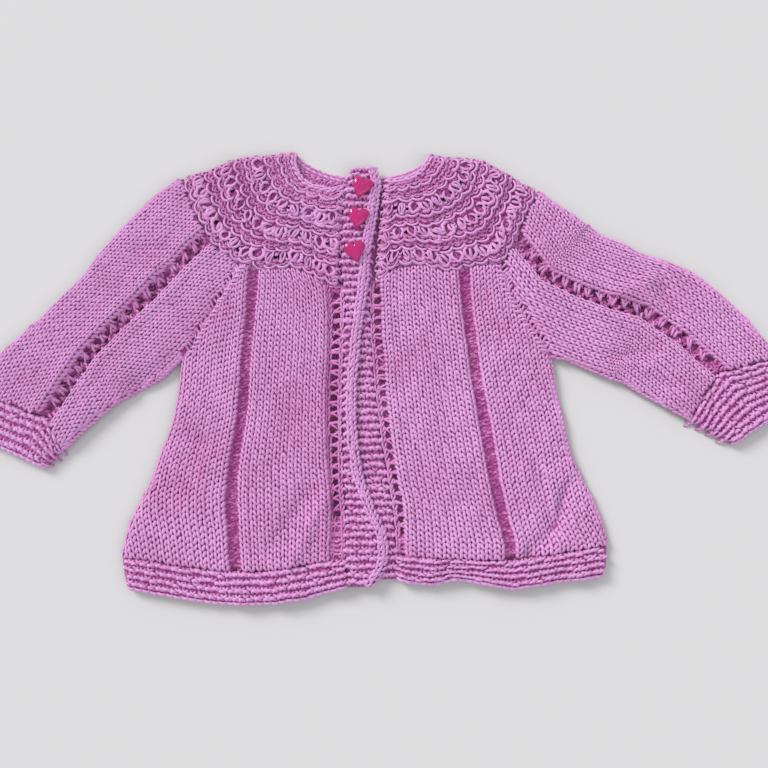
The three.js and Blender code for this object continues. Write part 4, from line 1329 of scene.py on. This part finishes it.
def outline_of(place, steps=60):
    """The border of a plan as one closed run of points."""
    share = np.linspace(0, 1, steps)
    ones = np.ones(steps)
    return np.concatenate(
        [place(0 * ones, share), place(share, ones), place(ones, share[::-1]), place(share[::-1], 0 * ones)]
    )


def within(points, outline, inset):
    """Whether points lie inside an outline, and at least an inset away from it along X and Y."""
    inside = np.ones(points.shape[:-1], bool)
    following = np.roll(outline, -1, axis=0)
    for shift in ((inset, 0), (-inset, 0), (0, inset), (0, -inset)):
        x, y = points[..., 0] + shift[0], points[..., 1] + shift[1]
        crossings = np.zeros(x.shape, int)
        for (x0, y0), (x1, y1) in zip(outline, following):
            if y0 == y1:
                continue
            spans = (y0 > y) != (y1 > y)
            crossings += spans & (x < x0 + (x1 - x0) * (y - y0) / (y1 - y0))
        inside &= crossings % 2 == 1
    return inside


def lace_line(place):
    """Points a row apart down a sleeve's lace column, starting above it, with their directions."""
    t = np.linspace(0, 1, 200)
    line = place(np.full(200, SLEEVE_LACE), t)
    lengths = run_along(line)
    stops = np.arange(-8 * ROW, lengths[-1] + 5 * ROW, ROW)
    inner = np.clip(stops, 0, lengths[-1])
    reach = 9
    down = unit(at_stops(inner + reach, lengths, line) - at_stops(inner - reach, lengths, line))
    points = at_stops(inner, lengths, line) + down * (stops - inner)[:, None]
    for _ in range(6):
        down[1:-1] = (down[:-2] + 2 * down[1:-1] + down[2:]) / 4
    return points, unit(down)


def make_sleeve(side, seed):
    node = f"sleeve_{side.word}_front"
    heights = heights_of(node)
    place = sleeve_plan(side)
    holes, bars, bar_ways = sleeve_holes(side, place)
    sheet, area = ground_sheet(node, place, (56, 84), KNIT_SINK, holes=holes, hole=SLEEVE_HOLE)
    knitting = Knitting(f"{node}_stitches", seed)
    legs = knit_legs()
    line, down = lace_line(place)
    aside = square_to(down)
    outline = outline_of(place)
    pitch = STITCH * 0.97
    for way_out in (-1, 1):
        number = (np.arange(22) + 1.55) * pitch * way_out
        field = line[None] + aside[None] * number[:, None, None]
        keep = within(field, outline, 0.35)
        across = np.broadcast_to(aside * (pitch / STITCH), field.shape)
        up = -steps_of(field, 1) / ROW
        lay_field(knitting, legs, field, keep, across, up, heights)
    make_sleeve_lace(knitting, line, down, aside, outline, heights, holes, bars, bar_ways)
    for s in (0.012, 0.99):
        make_edge_wale(knitting, paced(place, s, ROW), heights, legs)
    declare(sheet, place, area, [knitting.finish()])
    make_sleeve_back(side)


def sleeve_holes(side, place):
    """Holes of a sleeve's lace in two staggered lines, with the places and directions of the bars between."""
    way = mix(0.05, 0.95, np.arange(SLEEVE_EYELETS) / (SLEEVE_EYELETS - 1))
    middle = place(np.full(len(way), SLEEVE_LACE), way)
    down = unit(steps_of(middle))
    upper = square_to(down) * side.outward
    between = (middle[1:] + middle[:-1]) / 2
    holes = np.concatenate([middle + upper * 1.7, between - upper[:-1] * 2.4])
    return holes, between + upper[:-1] * 1.2, (upper[:-1], down[:-1])


def clear_of(points, holes, reach):
    """Whether points lie further than a reach from every hole."""
    return np.linalg.norm(points[:, None] - holes[None], axis=-1).min(axis=1) > reach


def make_sleeve_lace(knitting, line, down, aside, outline, heights, holes, bars, bar_ways):
    """The sleeve's open lace: knots round two lines of holes, painted darker towards the column's middle as
    shade, and a bar between each pair, painted less dark.
    """
    knot = Strand(arc_path(1.8, 1.3, 0.7), 1.55)
    inside = within(line, outline, 1.5)
    line, down, aside = line[inside], down[inside], aside[inside]
    up = -down * alternate(len(line))[:, None]
    loose = {"jitter": 0.4, "scatter": 0.2}
    for shift, tone in ((-4.0, 0.6), (-2.0, 0.3), (0.0, 0.2), (2.0, 0.3), (4.0, 0.6)):
        spot = line + aside * shift + down * (shift * 0.4)
        keep = clear_of(spot, holes, 2.5)
        across = turned(aside, knitting.random.normal(0, 0.45, len(line)))
        knitting.lay(knot, spot[keep], across[keep], up[keep], heights, lift=-0.4, tone=tone, **loose)
    bar = Strand(SLEEVE_BAR, 1.7)
    upper, along_line = bar_ways
    for shift, lean in ((-0.9, 0.25), (0.9, -0.2)):
        angles = knitting.random.normal(lean, 0.2, len(bars))
        spot = bars + along_line * shift
        knitting.lay(bar, spot, turned(upper, angles), -along_line, heights, lift=-0.15, tone=0.8, jitter=0.3)


def make_edge_wale(knitting, edge, heights, legs):
    """A wale of knit stitches that follows a fold, as the fabric turns under there."""
    up = unit(-steps_of(edge))
    for strand in legs:
        knitting.lay(strand, edge, square_to(up) * -0.9, up, heights, lift=-0.35, tone=0.85)


def paced(place, s, pitch):
    """Points a pitch apart down a plan at a share across."""
    t = np.linspace(0.004, 0.996, 300)
    line = place(np.full(300, s), t)
    lengths = run_along(line)
    return at_stops(np.arange(pitch / 2, lengths[-1], pitch), lengths, line)


# Shares across between which the back wall of a sleeve or cuff lies.
UNDER_SHARES = (0.035, 0.965)


def make_sleeve_back(side):
    node = f"sleeve_{side.word}_back"
    front = sleeve_plan(side)

    def place(s, t):
        return front(mix(*UNDER_SHARES, s), t)

    sheet, area = ground_sheet(node, place, (40, 60), 0.0, BACK_THICKNESS)
    declare(sheet, place, area, [])


def make_cuff(side, seed):
    node = f"cuff_{side.word}_front"
    heights = heights_of(node)
    place = cuff_plan(side)
    sheet, area = ground_sheet(node, place, (40, 18), GARTER_SINK)
    knitting = Knitting(f"{node}_stitches", seed)
    columns = int(round(run_length(place, (0, 0.5), (1, 0.5)) / (GARTER_BUMP * MM)))
    full = np.linspace(0, 1, 100)
    line = place(full, np.full(100, 0.5))
    lengths = run_along(line)
    s = np.interp((np.arange(columns) + 0.5) / columns * lengths[-1], lengths, full)
    rows = int(round(run_length(place, (0.5, 0), (0.5, 1)) / (GARTER_PITCH * MM)))
    t = (np.arange(rows) + 0.5) / (rows + 0.2)
    field = place(*np.meshgrid(s, t, indexing="ij"))
    keep = np.ones(field.shape[:2], bool)
    purl_field(knitting, field, keep, heights)
    out = unit(place(s, np.full(columns, 1.0)) - place(s, np.full(columns, 0.9)))
    cast_on(knitting, place, s, -out, heights)
    back = f"cuff_{side.word}_back"
    declare(sheet, place, area, [knitting.finish()])

    def under(s, t):
        return place(mix(*UNDER_SHARES, np.asarray(s, float)), mix(0.015, 0.97, t))

    sheet, area = ground_sheet(back, under, (24, 12), 0.0, BACK_THICKNESS)
    declare(sheet, under, area, [])


def make_raglan(side, seed):
    """The sewn seam between the sleeve and the front shows as a row of slanting stitches."""
    knitting = Knitting(f"raglan_seam_{side.word}", seed)
    y = np.arange(203, 149, -2.7)
    x = side.edge("side", y)
    line = np.stack([x, y], axis=-1)
    down = unit(steps_of(line))
    aside = -square_to(down)
    slant = Strand(SEAM_SLANT, 1.5)
    front = heights_of(f"front_{side.word}_panel")
    sleeve = heights_of(f"sleeve_{side.word}_front")

    def heights(xy):
        return np.maximum(front(xy), sleeve(xy))

    # The seam row is painted a little darker as shade, the raised row beside it lighter as highlight.
    knitting.lay(slant, line, aside * -side.outward, -down, heights, lift=0.1, tone=0.8, jitter=0.3)
    beside = line + aside * (side.outward * 3.2)
    knitting.lay(slant, beside, aside * side.outward, -down, heights, lift=0.7, tone=1.3, jitter=0.3)
    knitting.finish()


# Heart buttons: plan place in millimetres and turn in radians.
HEART_PLACES = ((-2.9, 250.3, -0.3), (-5.1, 231.0, -0.14), (-6.7, 210.3, 0.16))
HEART_POINTS = 56
HEART_BASE = 0.93
# Size of a heart at each height of its side and dome, as a share of its outline and in millimetres.
HEART_STEPS = (
    (1.0, 0.5),
    (1.0, 1.2),
    (0.94, 2.0),
    (0.83, 2.6),
    (0.66, 3.0),
    (0.46, 3.22),
    (0.24, 3.34),
    (0.08, 3.38),
)


def heart_outline(width, height):
    """A plump heart: two round lobes and a rounded point."""
    outline = []
    for step in range(HEART_POINTS):
        angle = 2 * math.pi * step / HEART_POINTS
        x = math.sin(angle) ** 3
        y = 0.84 * math.cos(angle) - 0.29 * math.cos(2 * angle) - 0.11 * math.cos(3 * angle)
        outline.append(Vector((x * width / 2, (y + 0.167) * height / 1.706, 0.0)))
    return outline


def make_button(number, place):
    name = f"heart_button_{number}"
    bm = bmesh.new()
    outline = heart_outline(sizes().button_width, sizes().button_height)
    base = bm.faces.new([bm.verts.new(point * HEART_BASE) for point in outline])
    if base.normal.z < 0 or base.calc_center_median().z < 0:
        bmesh.ops.reverse_faces(bm, faces=[base])
    top, size, level = base, HEART_BASE, 0.0
    for share, height in HEART_STEPS:
        grown = bmesh.ops.extrude_discrete_faces(bm, faces=[top])
        top = grown["faces"][0]
        corners = list(top.verts)
        bmesh.ops.scale(bm, vec=(share / size, share / size, 1), verts=corners)
        bmesh.ops.translate(bm, vec=(0, 0, (height - level) * MM), verts=corners)
        size, level = share, height
    bmesh.ops.triangulate(bm, faces=[top])
    bmesh.ops.recalc_face_normals(bm, faces=bm.faces)
    bmesh.ops.rotate(bm, verts=bm.verts, cent=(0, 0, 0), matrix=Matrix.Rotation(place[2], 3, "Z"))
    spot = ((place[0] - CENTRE[0]) * MM, (place[1] - CENTRE[1]) * MM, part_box(name)[0].z)
    bmesh.ops.translate(bm, verts=bm.verts, vec=spot)
    piece = add_piece(mesh_of(bm, f"{name}_domed"), "button_gloss", "buttons")
    smooth = piece.modifiers.new("Rounding", "SUBSURF")
    smooth.levels = smooth.render_levels = 1
    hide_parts(name)


# Settings, operators and panel.
class CardiganSizes(bpy.types.PropertyGroup):
    """Sizes and colours of the cardigan"""

    stitch_width: FloatProperty(
        name="Stitch width", description="Width of a drawn stitch",
        default=0.0039, unit="LENGTH", subtype="DISTANCE",
    )
    row_height: FloatProperty(
        name="Row height", description="Height of a drawn row",
        default=0.0031, unit="LENGTH", subtype="DISTANCE",
    )
    button_width: FloatProperty(
        name="Button width", description="Width of a heart",
        default=0.0126, unit="LENGTH", subtype="DISTANCE",
    )
    button_height: FloatProperty(
        name="Button height", description="Height of a heart",
        default=0.0137, unit="LENGTH", subtype="DISTANCE",
    )
    # Painted highlight: the colour of the raised, lit yarn.
    yarn_painted_highlight: FloatVectorProperty(
        name="Yarn, lit", description="Colour of the raised yarn",
        subtype="COLOR", default=(0.78, 0.38, 0.70),
    )
    yarn_middle: FloatVectorProperty(
        name="Yarn, middle", description="Colour of the yarn's body",
        subtype="COLOR", default=(0.66, 0.22, 0.50),
    )
    # Painted shade: the colour of the yarn where it dips or lies sunken.
    yarn_painted_shade: FloatVectorProperty(
        name="Yarn, deep", description="Colour where the yarn dips",
        subtype="COLOR", default=(0.42, 0.055, 0.27),
    )
    # Painted shade: the ground between the stitches, coloured darker than the yarn.
    ground: FloatVectorProperty(
        name="Ground", description="Colour between the stitches",
        subtype="COLOR", default=(0.56, 0.14, 0.41),
    )
    # Painted shade in the deepest gaps between the stitches.
    ground_painted_shade: FloatVectorProperty(
        name="Ground, deep", description="Colour of the deepest gaps",
        subtype="COLOR", default=(0.36, 0.045, 0.23),
    )
    button_light: FloatVectorProperty(
        name="Button", description="Colour of the buttons", subtype="COLOR", default=(0.57, 0.005, 0.19)
    )
    button_deep: FloatVectorProperty(
        name="Button, deep", description="Darker swirl of the buttons",
        subtype="COLOR", default=(0.50, 0.003, 0.12),
    )
    floor: FloatVectorProperty(
        name="Floor", description="Colour of the floor", subtype="COLOR", default=(0.72, 0.70, 0.67)
    )


# The camera, in millimetres and degrees, and the lights: place, strength and angle in degrees.
CAMERA_TILT = 6.0
CAMERA_DISTANCE = 462.0
CAMERA_AIM = (10.8, 130.8, 4.0)
HALF_VIEW = 26.5
SENSOR_WIDTH = 36.0
FLOOR_HALF = 12.0
FLOOR_DROP = 0.2
LIGHTS = (
    ("window_light", (-1.7, 1.6, 1.5), 2.2, 22.0),
    ("room_light", (1.6, -1.3, 2.0), 0.38, 40.0),
)
SKY = (0.86, 0.9, 1.0, 1)
SKY_STRENGTH = 0.64


class CARDIGAN_OT_camera(bpy.types.Operator):
    """Place the camera as the photograph was taken, above the garment and a little towards the hem"""

    bl_idname = "cardigan.camera"
    bl_label = "Camera"

    def execute(self, context):
        tilt = math.radians(CAMERA_TILT)
        aim = Vector((CAMERA_AIM[0] - CENTRE[0], CAMERA_AIM[1] - CENTRE[1], CAMERA_AIM[2]))
        back = Vector((0, -math.sin(tilt), math.cos(tilt)))
        data = bpy.data.cameras.new("photo_camera")
        data.sensor_width = SENSOR_WIDTH
        data.lens = SENSOR_WIDTH / (2 * math.tan(math.radians(HALF_VIEW)))
        data.clip_start, data.clip_end = 0.01, 20
        camera = bpy.data.objects.new("photo_camera", data)
        context.scene.collection.objects.link(camera)
        camera.location = (aim + back * CAMERA_DISTANCE) * MM
        camera.rotation_euler = (tilt, 0, 0)
        context.scene.camera = camera
        return {"FINISHED"}


class CARDIGAN_OT_materials(bpy.types.Operator):
    """Make the yarn, the ground cloth, the button gloss and the floor"""

    bl_idname = "cardigan.materials"
    bl_label = "Materials"

    def execute(self, context):
        settings = sizes()
        make_yarn()
        make_cloth("knitted_ground", settings.ground_painted_shade, settings.ground)
        make_cloth("knitted_outside", settings.yarn_painted_shade, settings.yarn_middle)
        make_button_gloss()
        make_floor()
        return {"FINISHED"}


class CARDIGAN_OT_back(bpy.types.Operator):
    """Lay the back panel, its hem and the back of the yoke"""

    bl_idname = "cardigan.back"
    bl_label = "Back"

    def execute(self, context):
        make_back(1)
        return {"FINISHED"}


class CARDIGAN_OT_fronts(bpy.types.Operator):
    """Knit both fronts with their lace columns and eyelets"""

    bl_idname = "cardigan.fronts"
    bl_label = "Fronts"

    def execute(self, context):
        make_front(LEFT, 2)
        make_front(RIGHT, 3)
        return {"FINISHED"}


class CARDIGAN_OT_hems(bpy.types.Operator):
    """Knit the garter hems of both fronts"""

    bl_idname = "cardigan.hems"
    bl_label = "Hems"

    def execute(self, context):
        make_hem(LEFT, 4)
        make_hem(RIGHT, 5)
        return {"FINISHED"}


class CARDIGAN_OT_bands(bpy.types.Operator):
    """Knit the under band and the button band with its rolled edge"""

    bl_idname = "cardigan.bands"
    bl_label = "Bands"

    def execute(self, context):
        make_band("under_band", UNDER_BAND, 6, False)
        make_band("button_band", BUTTON_BAND, 7, True)
        return {"FINISHED"}


class CARDIGAN_OT_yoke(bpy.types.Operator):
    """Knit both fronts of the round lace yoke"""

    bl_idname = "cardigan.yoke"
    bl_label = "Yoke"

    def execute(self, context):
        make_yoke(LEFT, 8)
        make_yoke(RIGHT, 9)
        return {"FINISHED"}


class CARDIGAN_OT_sleeves(bpy.types.Operator):
    """Knit both sleeves and their garter cuffs"""

    bl_idname = "cardigan.sleeves"
    bl_label = "Sleeves and cuffs"

    def execute(self, context):
        for number, side in enumerate((LEFT, RIGHT)):
            make_sleeve(side, 10 + number)
            make_cuff(side, 12 + number)
        return {"FINISHED"}


class CARDIGAN_OT_seams(bpy.types.Operator):
    """Sew the raglan seams"""

    bl_idname = "cardigan.seams"
    bl_label = "Seams"

    def execute(self, context):
        make_raglan(LEFT, 14)
        make_raglan(RIGHT, 15)
        return {"FINISHED"}


class CARDIGAN_OT_buttons(bpy.types.Operator):
    """Make the three domed heart buttons"""

    bl_idname = "cardigan.buttons"
    bl_label = "Heart buttons"

    def execute(self, context):
        for number, place in enumerate(HEART_PLACES, 1):
            make_button(number, place)
        return {"FINISHED"}


class CARDIGAN_OT_stage(bpy.types.Operator):
    """Lay a plain pale floor and set soft daylight from the upper left"""

    bl_idname = "cardigan.stage"
    bl_label = "Stage"

    def execute(self, context):
        bm = bmesh.new()
        bmesh.ops.create_grid(bm, x_segments=1, y_segments=1, size=FLOOR_HALF)
        bmesh.ops.translate(bm, verts=bm.verts, vec=(0, 0, -FLOOR_DROP * MM))
        add_piece(mesh_of(bm, "floor"), "pale_floor")
        for name, place, strength, spread in LIGHTS:
            data = bpy.data.lights.new(name, "SUN")
            data.angle = math.radians(spread)
            data.energy = strength
            light = bpy.data.objects.new(name, data)
            light.location = place
            light.rotation_euler = (-Vector(place)).to_track_quat("-Z", "Y").to_euler()
            context.scene.collection.objects.link(light)
        world = bpy.data.worlds.new("soft_room")
        world.use_nodes = True
        background = world.node_tree.nodes["Background"]
        background.inputs["Color"].default_value = SKY
        background.inputs["Strength"].default_value = SKY_STRENGTH
        context.scene.world = world
        context.scene.view_settings.view_transform = "Standard"
        return {"FINISHED"}


PIECE_OPERATORS = (
    CARDIGAN_OT_camera,
    CARDIGAN_OT_materials,
    CARDIGAN_OT_back,
    CARDIGAN_OT_fronts,
    CARDIGAN_OT_hems,
    CARDIGAN_OT_bands,
    CARDIGAN_OT_yoke,
    CARDIGAN_OT_sleeves,
    CARDIGAN_OT_seams,
    CARDIGAN_OT_buttons,
    CARDIGAN_OT_stage,
)


class CARDIGAN_PT_sidebar(bpy.types.Panel):
    bl_idname = "CARDIGAN_PT_sidebar"
    bl_label = "Baby cardigan"
    bl_space_type = "VIEW_3D"
    bl_region_type = "UI"
    bl_category = "Cardigan"

    def draw(self, context):
        for operator in PIECE_OPERATORS:
            self.layout.operator(operator.bl_idname)


CLASSES = (CardiganSizes, *PIECE_OPERATORS, CARDIGAN_PT_sidebar)


def register():
    for entry in CLASSES:
        bpy.utils.register_class(entry)
    bpy.types.Scene.cardigan_sizes = PointerProperty(type=CardiganSizes)


def unregister():
    del bpy.types.Scene.cardigan_sizes
    for entry in reversed(CLASSES):
        bpy.utils.unregister_class(entry)


def main():
    register()
    for operator in PIECE_OPERATORS:
        group, name = operator.bl_idname.split(".")
        getattr(getattr(bpy.ops, group), name)()


if __name__ == "__main__":
    main()
